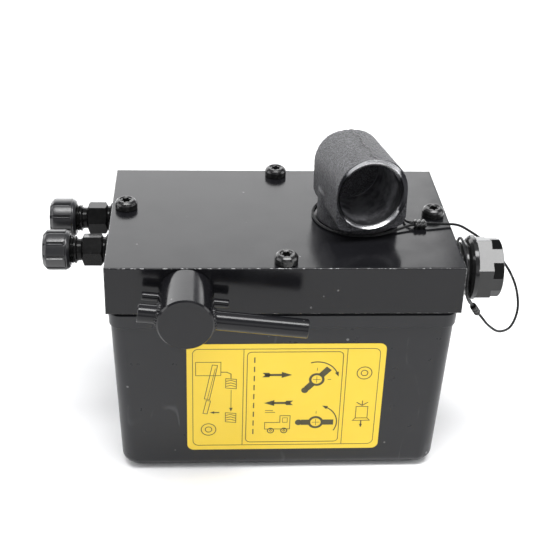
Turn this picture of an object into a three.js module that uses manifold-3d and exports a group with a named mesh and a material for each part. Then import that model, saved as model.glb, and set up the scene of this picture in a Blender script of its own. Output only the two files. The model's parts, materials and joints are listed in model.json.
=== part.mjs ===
// Hand-operated hydraulic power unit: a steel pump block on a plastic oil tank.
// Millimetres, +Z up, +X to the filler side, +Y to the back.
// The origin is the centre of the tank's flat bottom.
import * as THREE from 'three'
import { mergeVertices } from 'three/addons/utils/BufferGeometryUtils.js'
import Module from 'manifold-3d'

const wasm = await Module()
wasm.setup()

// ---------- driving dimensions ----------
const BLOCK = { width: 200, depth: 125, height: 29.5, edge: 0.6 }
const GASKET_THICKNESS = 1.5
const TANK = {
  height: 111.5, topHalfWidth: 98.4, bottomHalfWidth: 94.6, topHalfDepth: 61.4, bottomHalfDepth: 59,
  corner: 8, wall: 3.5, rimHeight: 8.4, rimProud: 0.8,
}
const BLOCK_BOTTOM = TANK.height + GASKET_THICKNESS
const BLOCK_TOP = BLOCK_BOTTOM + BLOCK.height
const PORT_LEVEL = BLOCK_TOP - 14.7 // height of the side ports and the filler
const GAP = 0.3 // between a turned piece and the hole it sits in

// Cover screws: where each stands on the block.
const SCREWS = {
  left: [-91.3, 10], right: [91.3, 0.8], front: [0, -55.5], back: [0, 55.5],
}
const SCREW = { shank: 4, head: 6.6, headHeight: 5.6, length: 50, insert: 5.5, insertLength: 18, boss: 8.5 }

// Hose fittings on the left side.
const FITTINGS = { back: 24.9, front: -14.9 }
const FITTING = { hexFlats: 17, thread: 6.4, drilling: 3, capRadius: 11.8, capLength: 15.4 }

// Filler plug on the right side.
const FILLER = {
  y: -35.6, flats: 33, neck: 14.6, thread: 13.2, hexFrom: 9.1, openFrom: 18.3, out: 24.8, engaged: 14,
  milled: 16.4, recess: 9.5,
}
const FILLER_DROP = { x: 83, radius: 9 }

// Lever socket: a cast tube over a round neck that swings about a vertical axis.
const SWING = { x: 46, y: 0 }
const SOCKET = {
  restTurn: 9.5, tilt: 4, axisX: 43.6, axisZ: 27.3, front: 33, back: -20, outer: 20.8, bore: 18,
  drop: 21, chamfer: 2, boreDepth: 44, neck: 24.5, neckTop: 22, lift: 0.5,
}
const SHAFT = { top: 9, journal: 11, lower: 7, bush: 14, bushLength: 18 }

// Pump under the block, with a crank in a cross slot of the piston.
const CRANK = { throw: 12, pin: 4, hub: 12, bottom: 102.4, top: 111.4 }
const PUMP = { left: 2, right: 81, y: -11.4, z: 91, bore: 10, halfDepth: 22, bottom: 74, pistonLength: 44 }

// Rotary spool valve and its lever.
const SPOOL = { x: -55.2, z: BLOCK_TOP - 15.5, bore: 8, stem: 6, depth: 84 }
const HUB = { radius: 15.4, length: 33, leverY: -87.5, pinY: -70 }
const LEVER = { radius: 5.3, left: -25.8, right: 66.2, droop: 6.6 }
const CROSS_PIN = { radius: 2.5, left: -24.4, right: 23.6 }

// Valves that hang below the block or sit in it.
const BALL = 4
const SUCTION = { x: 13, bottom: 52 }
const DELIVERY = { x: 13, y: -11.4 }
const RELIEF = { x: -16, y: 26 }
const RETURN = { x: -55.2, y: 14 }

// Lanyard: a wire rope from the lever socket's neck to the filler plug's neck.
const ROPE = 0.8 // rope radius

const FRONT = -BLOCK.depth / 2

// Sides of the round pieces.
const BIG = 32
const MID = 20
const SMALL = 14
const TINY = 8
const rad = THREE.MathUtils.degToRad

// ---------- solids ----------
function solid(geometry) {
  const bare = geometry.index ? geometry.toNonIndexed() : geometry.clone()
  bare.deleteAttribute('normal')
  bare.deleteAttribute('uv')
  const merged = mergeVertices(bare, 1e-4)
  return new wasm.Manifold(new wasm.Mesh({
    numProp: 3,
    vertProperties: merged.attributes.position.array,
    triVerts: new Uint32Array(merged.index.array),
  }))
}

function geometryOf(manifold) {
  const mesh = manifold.getMesh()
  const geometry = new THREE.BufferGeometry()
  geometry.setAttribute('position', new THREE.BufferAttribute(mesh.vertProperties, 3))
  geometry.setIndex(new THREE.BufferAttribute(mesh.triVerts, 1))
  return geometry
}

const join = (...parts) => parts.reduce((a, b) => a.add(b))
const cut = (body, ...tools) => tools.reduce((a, b) => a.subtract(b), body)

// A box from its low corner to its high corner.
function box(low, high) {
  const size = high.map((v, i) => v - low[i])
  const geometry = new THREE.BoxGeometry(...size)
  geometry.translate(...high.map((v, i) => (v + low[i]) / 2))
  return solid(geometry)
}

// A lathe's faces point out when its profile runs anticlockwise.
function lathePoints(profile) {
  const points = profile.map(([r, h]) => new THREE.Vector2(r, h))
  return THREE.ShapeUtils.area(points) < 0 ? points.reverse() : points
}

// Points [radius, height] turned about an axis through a centre point.
const TURN_TO = {
  x: new THREE.Matrix4().makeBasis(
    new THREE.Vector3(0, 1, 0), new THREE.Vector3(1, 0, 0), new THREE.Vector3(0, 0, -1)),
  y: new THREE.Matrix4(),
  z: new THREE.Matrix4().makeRotationX(Math.PI / 2),
}

function turned(profile, axis, centre = [0, 0, 0], segments = MID) {
  const points = lathePoints(profile)
  const geometry = new THREE.LatheGeometry(points, segments)
  geometry.applyMatrix4(TURN_TO[axis])
  geometry.translate(...centre)
  return solid(geometry)
}

// A round bar or hole between two heights along an axis.
function rod(radius, from, to, axis, centre, segments = MID) {
  return turned([[0, from], [radius, from], [radius, to], [0, to]], axis, centre, segments)
}

function ring(inner, outer, from, to, axis, centre, segments = MID) {
  const profile = [[inner, from], [outer, from], [outer, to], [inner, to], [inner, from]]
  return turned(profile, axis, centre, segments)
}

// A closed ring of round section.
function torus(radius, section, axis, centre, segments = MID, around = 8) {
  const geometry = new THREE.TorusGeometry(radius, section, around, segments)
  if (axis === 'x') geometry.rotateY(Math.PI / 2)
  if (axis === 'y') geometry.rotateX(Math.PI / 2)
  geometry.translate(...centre)
  return solid(geometry)
}

// A flat shape pushed along Z.
function plate(shape, from, to, curveSegments = 6) {
  const geometry = new THREE.ExtrudeGeometry(shape, { depth: to - from, bevelEnabled: false, curveSegments })
  geometry.translate(0, 0, from)
  return solid(geometry)
}

// A hexagon's outline; spin turns it, so that a corner points at that angle.
function hexagon(flats, spin) {
  const corner = flats / 2 / Math.cos(Math.PI / 6)
  const points = Array.from({ length: 6 }, (_, i) => {
    const a = rad(spin + 60 * i)
    return new THREE.Vector2(corner * Math.cos(a), corner * Math.sin(a))
  })
  return new THREE.Shape(points)
}

// A hexagonal bar along X whose ends are turned to a chamfer.
function hexBar(flats, from, to, centre, cornerAngle, chamfer) {
  const bar = solid(new THREE.ExtrudeGeometry(hexagon(flats, cornerAngle), {
    depth: to - from, bevelEnabled: false,
  }).translate(0, 0, from).applyMatrix4(AXIS_X).translate(...centre))
  const corner = flats / 2 / Math.cos(Math.PI / 6)
  const trim = turned([
    [0, from], [corner - chamfer, from], [corner + 0.1, from + chamfer], [corner + 0.1, to - chamfer],
    [corner - chamfer, to], [0, to],
  ], 'x', centre)
  return bar.intersect(trim)
}

// Local Z goes to +X, local X to +Y and local Y to +Z.
const AXIS_X = new THREE.Matrix4().makeBasis(
  new THREE.Vector3(0, 1, 0), new THREE.Vector3(0, 0, 1), new THREE.Vector3(1, 0, 0))

// Rings of points joined into one closed skin; the first and the last ring are capped.
function loft(rings) {
  const count = rings[0].length
  const positions = rings.flat(2)
  const index = []
  for (let r = 0; r + 1 < rings.length; r += 1) {
    for (let i = 0; i < count; i += 1) {
      const a = r * count + i
      const b = r * count + ((i + 1) % count)
      index.push(a, b, a + count, b, b + count, a + count)
    }
  }
  const cap = (ring, at, flip) => {
    const middle = [0, 1, 2].map((k) => ring.reduce((s, p) => s + p[k], 0) / count)
    const centre = positions.length / 3
    positions.push(...middle)
    for (let i = 0; i < count; i += 1) {
      const a = at + i
      const b = at + ((i + 1) % count)
      index.push(...(flip ? [centre, b, a] : [centre, a, b]))
    }
  }
  cap(rings[0], 0, true)
  cap(rings[rings.length - 1], (rings.length - 1) * count, false)
  const geometry = new THREE.BufferGeometry()
  geometry.setAttribute('position', new THREE.Float32BufferAttribute(positions, 3))
  geometry.setIndex(index)
  return solid(geometry)
}

// A rectangle with round corners at height z.
function roundedRing(halfWidth, halfDepth, corner, z, steps = 4) {
  const points = []
  for (let quarter = 0; quarter < 4; quarter += 1) {
    const cx = (quarter === 0 || quarter === 3 ? 1 : -1) * (halfWidth - corner)
    const cy = (quarter < 2 ? 1 : -1) * (halfDepth - corner)
    for (let i = 0; i <= steps; i += 1) {
      const a = ((quarter + i / steps) * Math.PI) / 2
      points.push([cx + corner * Math.cos(a), cy + corner * Math.sin(a), z])
    }
  }
  return points
}

// A tube with closed ends that follows points on a smooth line.
function alongCurve(points, radius, sides, steps) {
  const curve = new THREE.CatmullRomCurve3(points.map((p) => new THREE.Vector3(...p)), false, 'centripetal')
  const section = new THREE.Shape(Array.from({ length: sides }, (_, i) => {
    const a = (2 * Math.PI * i) / sides
    return new THREE.Vector2(radius * Math.cos(a), radius * Math.sin(a))
  }))
  return solid(new THREE.ExtrudeGeometry(section, { steps, extrudePath: curve, bevelEnabled: false }))
}

// A wire spring with closed ends, standing along Z.
function spring(x, y, from, to, radius, wire, turns) {
  const steps = turns * 8
  const points = Array.from({ length: steps + 1 }, (_, i) => {
    const a = (2 * Math.PI * i) / 8
    const rise = ((to - from - 2 * wire) * i) / steps
    return [x + radius * Math.cos(a), y + radius * Math.sin(a), from + wire + rise]
  })
  return alongCurve(points, wire, 5, steps)
}

// ---------- materials ----------
const paint = (color, roughness, metalness = 0) =>
  new THREE.MeshStandardMaterial({ color, roughness, metalness })
const LOOK = {
  blackPaint: paint(0x1b1c1e, 0.22, 0.2),
  tankPlastic: paint(0x2f3135, 0.45),
  label: paint(0xf7d64a, 0.5),
  casting: paint(0x38393d, 0.6, 0.5),
  blackSteel: paint(0x1c1d20, 0.3, 0.7),
  capPlastic: paint(0x17181b, 0.35),
  rubber: paint(0x101011, 0.8),
  steel: paint(0xa6a8ac, 0.3, 1),
  brass: paint(0xb79a55, 0.35, 1),
  bronze: paint(0x9c7b4a, 0.4, 1),
  mesh: paint(0x8d9095, 0.6, 0.8),
  rope: paint(0x202124, 0.5, 0.6),
}

// ---------- tank ----------
// The tank's outer or inner half sizes at a height: it tapers to the bottom.
function tankHalf(z, inset) {
  const t = z / TANK.height
  return [
    THREE.MathUtils.lerp(TANK.bottomHalfWidth, TANK.topHalfWidth, t) - inset,
    THREE.MathUtils.lerp(TANK.bottomHalfDepth, TANK.topHalfDepth, t) - inset,
  ]
}

function tankRing(z, inset, corner) {
  const [halfWidth, halfDepth] = tankHalf(z, inset)
  return roundedRing(halfWidth, halfDepth, corner, z)
}

function tankShell() {
  const rings = []
  const round = TANK.corner
  for (let i = 0; i <= 4; i += 1) {
    const a = (i * Math.PI) / 8
    const inset = round * (1 - Math.sin(a))
    rings.push(tankRing(round * (1 - Math.cos(a)), inset, TANK.corner + 2 - inset / 4))
  }
  const rimStart = TANK.height - TANK.rimHeight
  rings.push(tankRing(rimStart, 0, TANK.corner))
  rings.push(tankRing(rimStart, -TANK.rimProud, TANK.corner))
  rings.push(tankRing(TANK.height, -TANK.rimProud, TANK.corner))
  const outside = [...rings]
  rings.push(tankRing(TANK.height, TANK.wall, TANK.corner - 3))
  rings.push(tankRing(round + TANK.wall, TANK.wall, TANK.corner - 3))
  rings.push(tankRing(TANK.wall, round, TANK.corner - 3))
  return { shell: loft(rings), full: loft(outside) }
}

function reservoir() {
  const { shell, full } = tankShell()
  let body = shell
  const holes = []
  for (const [x, y] of Object.values(SCREWS)) {
    const boss = rod(SCREW.boss, TANK.height - 34, TANK.height, 'z', [x, y, 0], SMALL)
    body = body.add(boss.intersect(full))
    holes.push(rod(SCREW.insert + GAP, TANK.height - 28, TANK.height + 1, 'z', [x, y, 0], SMALL))
  }
  return cut(body, ...holes)
}

function tankGasket() {
  const outline = (inset) => new THREE.Shape(
    tankRing(TANK.height, inset, TANK.corner - 1).map(([x, y]) => new THREE.Vector2(x, y)))
  const shape = outline(0.6)
  shape.holes.push(outline(16))
  const sheet = plate(shape, TANK.height, BLOCK_BOTTOM)
  const holes = Object.values(SCREWS).map(([x, y]) =>
    rod(SCREW.shank + 0.5, TANK.height - 1, BLOCK_BOTTOM + 1, 'z', [x, y, 0], SMALL))
  holes.push(rod(FILLER_DROP.radius + 0.3, TANK.height - 1, BLOCK_BOTTOM + 1, 'z',
    [FILLER_DROP.x, FILLER.y, 0], MID))
  return cut(sheet, ...holes)
}

// A sticker that lies on the sloping front wall.
const LABEL = { left: -55.4, right: 59.6, bottom: 14.8, top: 92, corner: 4, thickness: 0.3, off: 0.1 }

function instructionLabel() {
  const { left, right, bottom, top, corner } = LABEL
  const halfWidth = (right - left) / 2
  const halfHeight = (top - bottom) / 2
  const middle = [(left + right) / 2, (top + bottom) / 2]
  const sheet = [LABEL.off + LABEL.thickness, LABEL.off].map((off) =>
    roundedRing(halfWidth, halfHeight, corner, 0, 4).map(([x, z]) => {
      const height = z + middle[1]
      return [x + middle[0], -tankHalf(height, 0)[1] - off, height]
    }))
  return loft(sheet.reverse())
}

function screwInsert([x, y]) {
  return ring(SCREW.shank + GAP, SCREW.insert, TANK.height - 1 - SCREW.insertLength, TANK.height - 1,
    'z', [x, y, 0], SMALL)
}

// ---------- block ----------
function blockBlank() {
  const shape = new THREE.Shape(
    roundedRing(BLOCK.width / 2 - BLOCK.edge, BLOCK.depth / 2 - BLOCK.edge, 0.4, 0, 2)
      .map(([x, y]) => new THREE.Vector2(x, y)))
  const geometry = new THREE.ExtrudeGeometry(shape, {
    depth: BLOCK.height - 2 * BLOCK.edge,
    bevelThickness: BLOCK.edge, bevelSize: BLOCK.edge, bevelSegments: 1,
  })
  geometry.translate(0, 0, BLOCK_BOTTOM + BLOCK.edge)
  return solid(geometry)
}

function pumpBlock() {
  const tools = Object.values(SCREWS).map(([x, y]) =>
    rod(SCREW.shank + GAP, BLOCK_BOTTOM - 1, BLOCK_TOP + 1, 'z', [x, y, 0], SMALL))
  // Bore for the pump shaft's bush, with room above it for the seal.
  tools.push(rod(SHAFT.bush + GAP, BLOCK_BOTTOM - 1, BLOCK_TOP + 1, 'z', [SWING.x, SWING.y, 0], MID))
  // Spool bore from the front.
  tools.push(rod(SPOOL.bore, FRONT - 1, FRONT + SPOOL.depth, 'y', [SPOOL.x, 0, SPOOL.z], MID))
  // The spool's return to the tank.
  tools.push(rod(4.3, BLOCK_BOTTOM - 1, SPOOL.z, 'z', [RETURN.x, RETURN.y, 0], SMALL))
  // Hose ports, each drilled on to the spool.
  for (const y of Object.values(FITTINGS)) {
    tools.push(rod(FITTING.thread + GAP, -BLOCK.width / 2 - 1, -BLOCK.width / 2 + 13, 'x',
      [0, y, PORT_LEVEL], SMALL))
    tools.push(rod(FITTING.drilling, -BLOCK.width / 2 - 1, SPOOL.x, 'x', [0, y, PORT_LEVEL], TINY))
  }
  // Filler: in from the right, then down to the tank.
  tools.push(rod(FILLER.thread + GAP, FILLER_DROP.x - 9, BLOCK.width / 2 + 1, 'x',
    [0, FILLER.y, PORT_LEVEL], MID))
  tools.push(rod(FILLER_DROP.radius, BLOCK_BOTTOM - 1, PORT_LEVEL, 'z', [FILLER_DROP.x, FILLER.y, 0], MID))
  // Delivery valve, and its gallery to the spool.
  tools.push(rod(6, BLOCK_BOTTOM - 1, BLOCK_BOTTOM + 20, 'z', [DELIVERY.x, DELIVERY.y, 0], SMALL))
  tools.push(rod(2.5, SPOOL.x, DELIVERY.x, 'x', [0, DELIVERY.y, BLOCK_BOTTOM + 14], TINY))
  // Relief valve's thread.
  tools.push(rod(7 + GAP, BLOCK_BOTTOM - 1, BLOCK_BOTTOM + 10, 'z', [RELIEF.x, RELIEF.y, 0], SMALL))
  // Threads for the screws that carry the pump.
  for (const x of PUMP_SCREWS) {
    tools.push(rod(3 + GAP, BLOCK_BOTTOM - 1, BLOCK_BOTTOM + 12, 'z', [x, PUMP_SCREW_Y, 0], SMALL))
  }
  return cut(blockBlank(), ...tools)
}

// A six-lobed recess, as deep as its tool needs.
function lobedRecess(x, y, top, radius, depth) {
  const points = Array.from({ length: 18 }, (_, i) => {
    const a = (2 * Math.PI * i) / 18
    const r = radius * (0.86 + 0.14 * Math.cos(6 * a))
    return new THREE.Vector2(x + r * Math.cos(a), y + r * Math.sin(a))
  })
  return plate(new THREE.Shape(points), top - depth, top + 1)
}

function coverScrew([x, y]) {
  const top = BLOCK_TOP + SCREW.headHeight
  const end = top - SCREW.length
  const body = turned([
    [0, end], [SCREW.shank - 0.6, end], [SCREW.shank, end + 1], [SCREW.shank, BLOCK_TOP],
    [SCREW.head - 0.2, BLOCK_TOP], [SCREW.head, BLOCK_TOP + 0.4], [SCREW.head, top - 2.1],
    [SCREW.head - 0.7, top - 0.9], [SCREW.head - 1.9, top], [0, top],
  ], 'z', [x, y, 0], MID)
  return cut(body, lobedRecess(x, y, top, 3.2, 3.4))
}

// ---------- hose fittings ----------
function portFitting(y) {
  const face = -BLOCK.width / 2
  const centre = [0, y, PORT_LEVEL]
  const body = turned([
    [0, face + 12], [FITTING.thread - 0.8, face + 12],
    [FITTING.thread, face + 11], [FITTING.thread, face - 1.8],
    [8.2, face - 1.8], [8.2, face - 4.2], [8.2, face - 15], [6.3, face - 15.4], [6.3, face - 18.4],
    [8, face - 18.8], [8, face - 33], [7, face - 34], [0, face - 34],
  ], 'x', centre, MID)
  const spin = y === FITTINGS.front ? 105 : 55
  const nut = hexBar(FITTING.hexFlats, face - 15.4, face - 3.9, centre, spin, 1.2)
  const bore = rod(FITTING.drilling, face - 36, face + 14, 'x', centre, TINY)
  return cut(join(body, nut), bore)
}

function fittingSeal(y) {
  const face = -BLOCK.width / 2
  return ring(FITTING.thread + GAP, 9.2, face - 1.6, face, 'x', [0, y, PORT_LEVEL], MID)
}

// A plastic thread cap: closed outer end, lengthwise grooves and a narrower inner end.
function portCap(y) {
  const face = -BLOCK.width / 2
  const centre = [0, y, PORT_LEVEL]
  const inner = face - 22.6
  const outer = inner - FITTING.capLength
  const body = turned([
    [0, outer], [8.6, outer], [FITTING.capRadius, outer + 3.2], [FITTING.capRadius, inner - 2.4],
    [FITTING.capRadius - 1.6, inner], [8.4, inner], [8.4, outer + 3], [0, outer + 3],
  ], 'x', centre, 27)
  const grooves = Array.from({ length: 9 }, (_, i) => {
    const a = rad(34 + 40 * i)
    const r = FITTING.capRadius + 0.3
    return rod(1, outer + 2, inner - 3.6, 'x', [0, y - r * Math.cos(a), PORT_LEVEL + r * Math.sin(a)], 6)
  })
  return cut(body, ...grooves)
}

// ---------- filler ----------
function fillerPlug() {
  const face = BLOCK.width / 2
  const centre = [0, FILLER.y, PORT_LEVEL]
  const corner = FILLER.flats / 2 / Math.cos(Math.PI / 6)
  const end = face - FILLER.engaged
  const hexFrom = face + FILLER.hexFrom
  const openFrom = face + FILLER.openFrom
  const stem = turned([
    [0, end], [FILLER.thread - 1, end], [FILLER.thread, end + 1],
    [FILLER.thread, face + 0.8], [FILLER.neck, face + 1.2], [FILLER.neck, hexFrom - 2.8],
    [corner - 2.6, hexFrom - 2.8], [corner - 0.4, hexFrom + 0.4], [corner - 0.4, hexFrom + 2],
    [0, hexFrom + 2],
  ], 'x', centre, BIG)
  const nut = hexBar(FILLER.flats, hexFrom, face + FILLER.out, centre, 98, 1.6)
  const recess = rod(FILLER.recess, openFrom, face + FILLER.out + 1, 'x', centre, MID)
  // Each corner is milled flat near the open end.
  const flats = Array.from({ length: 6 }, (_, i) => {
    const cutter = new THREE.BoxGeometry(9, 4, 12)
    cutter.translate(openFrom + 4.5, FILLER.milled + 2, 0)
    cutter.rotateX(rad(38 + 60 * i))
    cutter.translate(0, FILLER.y, PORT_LEVEL)
    return solid(cutter)
  })
  return cut(join(stem, nut), recess, ...flats)
}

function fillerSeal() {
  const face = BLOCK.width / 2
  return ring(FILLER.thread + GAP, 15.6, face, face + 0.8, 'x', [0, FILLER.y, PORT_LEVEL], MID)
}

// ---------- lever socket and shaft ----------
// The casting's section: round on top, straight sides and a rounded underside.
function socketSection(halfWidth, drop) {
  const points = []
  const count = 20
  for (let i = 0; i <= count; i += 1) {
    const a = (Math.PI * i) / count
    const power = 2 / 2.3
    const x = halfWidth * Math.sign(Math.cos(a)) * Math.abs(Math.cos(a)) ** power
    points.push([x, (halfWidth + 0.2) * Math.abs(Math.sin(a)) ** power])
  }
  for (let i = 0; i <= 4; i += 1) {
    const a = Math.PI + (Math.PI * i) / 8
    points.push([-halfWidth + 6 + 6 * Math.cos(a), -drop + 6 + 6 * Math.sin(a)])
  }
  for (let i = 4; i >= 0; i -= 1) {
    const a = Math.PI + (Math.PI * i) / 8
    points.push([halfWidth - 6 - 6 * Math.cos(a), -drop + 6 + 6 * Math.sin(a)])
  }
  return new THREE.Shape(points.map(([x, y]) => new THREE.Vector2(x, y)))
}

// Turns a piece built with its mouth along -Y into the socket's own direction.
function socketPlace(geometry) {
  geometry.rotateX(-rad(SOCKET.tilt))
  geometry.rotateZ(rad(SOCKET.restTurn))
  geometry.translate(SOCKET.axisX, SWING.y, BLOCK_TOP + SOCKET.axisZ)
  return solid(geometry)
}

function alongSocket(profile, segments) {
  return socketPlace(new THREE.LatheGeometry(lathePoints(profile), segments).rotateX(Math.PI))
}

function leverSocket() {
  const { outer, bore, chamfer, front, back, drop } = SOCKET
  const tube = alongSocket([[0, 5], [outer - 0.4, 5], [outer - 0.4, front], [0, front]], BIG)
  const bodyShape = new THREE.ExtrudeGeometry(socketSection(outer, drop), {
    depth: front - back, bevelEnabled: false,
  })
  bodyShape.rotateX(Math.PI / 2)
  bodyShape.translate(0, -back, 0)
  const body = socketPlace(bodyShape)
  const centre = [SWING.x, SWING.y, BLOCK_TOP]
  const neck = turned([
    [0, SOCKET.lift], [SOCKET.neck - 1, SOCKET.lift],
    [SOCKET.neck, SOCKET.lift + 1], [SOCKET.neck, SOCKET.neckTop - 4],
    [SOCKET.neck - 4, SOCKET.neckTop], [0, SOCKET.neckTop],
  ], 'z', centre, BIG)
  const hole = alongSocket([
    [0, front - SOCKET.boreDepth], [bore, front - SOCKET.boreDepth], [bore, front - chamfer],
    [bore + chamfer, front], [bore + chamfer, front + 2], [0, front + 2],
  ], BIG)
  const shaftHole = rod(SHAFT.top + GAP, 0, 7.6, 'z', centre, SMALL)
  return cut(join(body, tube, neck), hole, shaftHole)
}

function pumpShaft() {
  const { x, y } = SWING
  const body = turned([
    [0, CRANK.bottom + 1], [SHAFT.lower, CRANK.bottom + 1], [SHAFT.lower, BLOCK_BOTTOM - 1.2],
    [SHAFT.journal, BLOCK_BOTTOM - 1.2], [SHAFT.journal, BLOCK_TOP - 0.6], [SHAFT.top, BLOCK_TOP - 0.6],
    [SHAFT.top, BLOCK_TOP + 7], [0, BLOCK_TOP + 7],
  ], 'z', [x, y, 0], MID)
  const pinHole = rod(2 + GAP, -20, 20, 'x', [x, y, ROLL_PIN_Z], TINY)
  return cut(body, pinHole)
}

const ROLL_PIN_Z = (CRANK.bottom + CRANK.top) / 2

function shaftBush() {
  return ring(SHAFT.journal + 0.25, SHAFT.bush, BLOCK_BOTTOM, BLOCK_BOTTOM + SHAFT.bushLength, 'z',
    [SWING.x, SWING.y, 0], MID)
}

function shaftSeal() {
  const low = BLOCK_BOTTOM + SHAFT.bushLength
  return turned([
    [SHAFT.journal + 0.3, low + 3], [SHAFT.journal + 1.2, low + 0.4], [SHAFT.bush, low + 0.4],
    [SHAFT.bush, low + 7.4], [SHAFT.journal + 1.4, low + 7.4], [SHAFT.journal + 0.3, low + 6],
    [SHAFT.journal + 0.3, low + 3],
  ], 'z', [SWING.x, SWING.y, 0], MID)
}

function sealRetainer() {
  const low = BLOCK_TOP - 3.6
  return ring(SHAFT.journal + 1, SHAFT.bush, low, low + 1.4, 'z', [SWING.x, SWING.y, 0], MID)
}

// ---------- crank and pump ----------
// The direction from the swing axis to the crank pin at rest.
const CRANK_TURN = rad(SOCKET.restTurn)
const CRANK_PIN_AT = [
  SWING.x + CRANK.throw * Math.sin(CRANK_TURN), SWING.y - CRANK.throw * Math.cos(CRANK_TURN),
]

function crankArm() {
  const hub = rod(CRANK.hub, CRANK.bottom, CRANK.top, 'z', [SWING.x, SWING.y, 0], MID)
  const eye = rod(7.5, CRANK.bottom, CRANK.top, 'z', [...CRANK_PIN_AT, 0], SMALL)
  const shaftHole = rod(SHAFT.lower + GAP, CRANK.bottom - 1, CRANK.top + 1, 'z', [SWING.x, SWING.y, 0], MID)
  const pinHole = rod(CRANK.pin + GAP, CRANK.bottom - 1, CRANK.top - 2, 'z', [...CRANK_PIN_AT, 0], SMALL)
  const crossHole = rod(2 + GAP, -20, 20, 'x', [SWING.x, SWING.y, ROLL_PIN_Z], TINY)
  return cut(join(hub, eye), shaftHole, pinHole, crossHole)
}

function crankPin() {
  return turned([
    [0, PUMP.z - 2], [CRANK.pin - 0.6, PUMP.z - 2], [CRANK.pin, PUMP.z - 1.4], [CRANK.pin, CRANK.top - 2.4],
    [0, CRANK.top - 2.4],
  ], 'z', [...CRANK_PIN_AT, 0], SMALL)
}

function crankRollPin() {
  return ring(0.9, 2, -10.4, 10.4, 'x', [SWING.x, SWING.y, ROLL_PIN_Z], TINY)
}

const PUMP_SCREWS = [20, 68]
const PUMP_SCREW_Y = -28

function pumpCylinder() {
  const { left, right, y, z, bore, halfDepth, bottom } = PUMP
  const body = box([left, y - halfDepth, bottom], [right, y + halfDepth, BLOCK_BOTTOM])
  const tools = [rod(bore + GAP, left - 1, right + 1, 'x', [0, y, z], MID)]
  // The chamber that the crank swings in.
  tools.push(box([SWING.x - 23, y - 12, z], [SWING.x + 23, y + halfDepth + 1, BLOCK_BOTTOM + 1]))
  for (const x of PUMP_SCREWS) {
    tools.push(rod(3 + GAP, bottom - 1, BLOCK_BOTTOM + 1, 'z', [x, PUMP_SCREW_Y, 0], SMALL))
    tools.push(rod(5 + GAP, bottom - 1, bottom + 7, 'z', [x, PUMP_SCREW_Y, 0], SMALL))
  }
  // Threads for the end plugs, and the valve passages at the left end.
  tools.push(rod(12 + GAP, left - 1, left + 7, 'x', [0, y, z], MID))
  tools.push(rod(12 + GAP, right - 7, right + 1, 'x', [0, y, z], MID))
  tools.push(rod(6 + GAP, bottom - 1, z, 'z', [SUCTION.x, y, 0], SMALL))
  tools.push(rod(2.5, z, BLOCK_BOTTOM + 1, 'z', [DELIVERY.x, y, 0], TINY))
  return cut(body, ...tools)
}

function cylinderScrew(x) {
  const low = PUMP.bottom + 1
  const body = turned([
    [0, low], [4.8, low], [5, low + 0.4], [5, low + 6], [3, low + 6],
    [3, BLOCK_BOTTOM + 10.6], [0, BLOCK_BOTTOM + 10.6],
  ], 'z', [x, PUMP_SCREW_Y, 0], SMALL)
  const socket = plate(new THREE.Shape(hexagon(5, 0).getPoints().map((p) =>
    new THREE.Vector2(p.x + x, p.y + PUMP_SCREW_Y))), low - 1, low + 3)
  return cut(body, socket)
}

function endPlug(side) {
  const { left, right, y, z } = PUMP
  const start = side < 0 ? left : right - 6
  const body = rod(12, start, start + 6, 'x', [0, y, z], MID)
  const key = solid(new THREE.ExtrudeGeometry(hexagon(8, 30), { depth: 5, bevelEnabled: false })
    .applyMatrix4(AXIS_X).translate(side < 0 ? start - 1 : start + 2, y, z))
  return cut(body, key)
}

// The piston's centre at rest is where the crank pin is.
const PISTON_CENTRE = CRANK_PIN_AT[0]

function pumpPiston() {
  const { y, z, bore, pistonLength } = PUMP
  const half = pistonLength / 2
  const grooves = [-half + 5, half - 8]
  const profile = [[0, -half], [bore - 0.8, -half], [bore, -half + 0.8]]
  for (const g of grooves) {
    profile.push([bore, g], [bore - 2, g], [bore - 2, g + 3], [bore, g + 3])
  }
  profile.push([bore, half - 0.8], [bore - 0.8, half], [0, half])
  const body = turned(profile, 'x', [PISTON_CENTRE, y, z], SMALL)
  const high = [y + bore + 1, z + bore + 1]
  const slotHalf = CRANK.pin + 0.4
  const slot = box([PISTON_CENTRE - slotHalf, y - bore - 1, z - 3], [PISTON_CENTRE + slotHalf, ...high])
  const flat = box([PISTON_CENTRE - 14, y - bore - 1, z + 9], [PISTON_CENTRE + 14, ...high])
  return cut(body, slot, flat)
}

function pistonSeal(side) {
  const { y, z, bore, pistonLength } = PUMP
  const low = side < 0 ? -pistonLength / 2 + 5.3 : pistonLength / 2 - 7.7
  return ring(bore - 1.7, bore + 0.1, low, low + 2.4, 'x', [PISTON_CENTRE, y, z], MID)
}

// ---------- valves ----------
// A hexagonal bar along Z.
function hexPost(flats, x, y, from, to) {
  const corners = hexagon(flats, 0).getPoints().map((p) => new THREE.Vector2(p.x + x, p.y + y))
  const shape = new THREE.Shape(corners)
  return plate(shape, from, to)
}

function suctionFitting() {
  const { x, bottom } = SUCTION
  const { y } = PUMP
  const body = hexPost(17, x, y, bottom, PUMP.bottom)
  const thread = rod(6, PUMP.bottom - 1, PUMP.bottom + 5, 'z', [x, y, 0], SMALL)
  const chamber = turned([
    [0, bottom + 9], [2.4, bottom + 9], [BALL + 0.5, bottom + 11.4], [BALL + 0.5, PUMP.bottom + 6],
    [0, PUMP.bottom + 6],
  ], 'z', [x, y, 0], SMALL)
  const inlet = rod(2.4, bottom + 4, bottom + 10, 'z', [x, y, 0], TINY)
  const socket = rod(4 + GAP, bottom - 1, bottom + 6, 'z', [x, y, 0], SMALL)
  return cut(join(body, thread), chamber, inlet, socket)
}

function ball(x, y, z) {
  const geometry = new THREE.SphereGeometry(BALL, 12, 8)
  geometry.translate(x, y, z)
  return solid(geometry)
}

const SUCTION_BALL_Z = SUCTION.bottom + 13.6
const DELIVERY_BALL_Z = BLOCK_BOTTOM + 7.6

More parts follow.
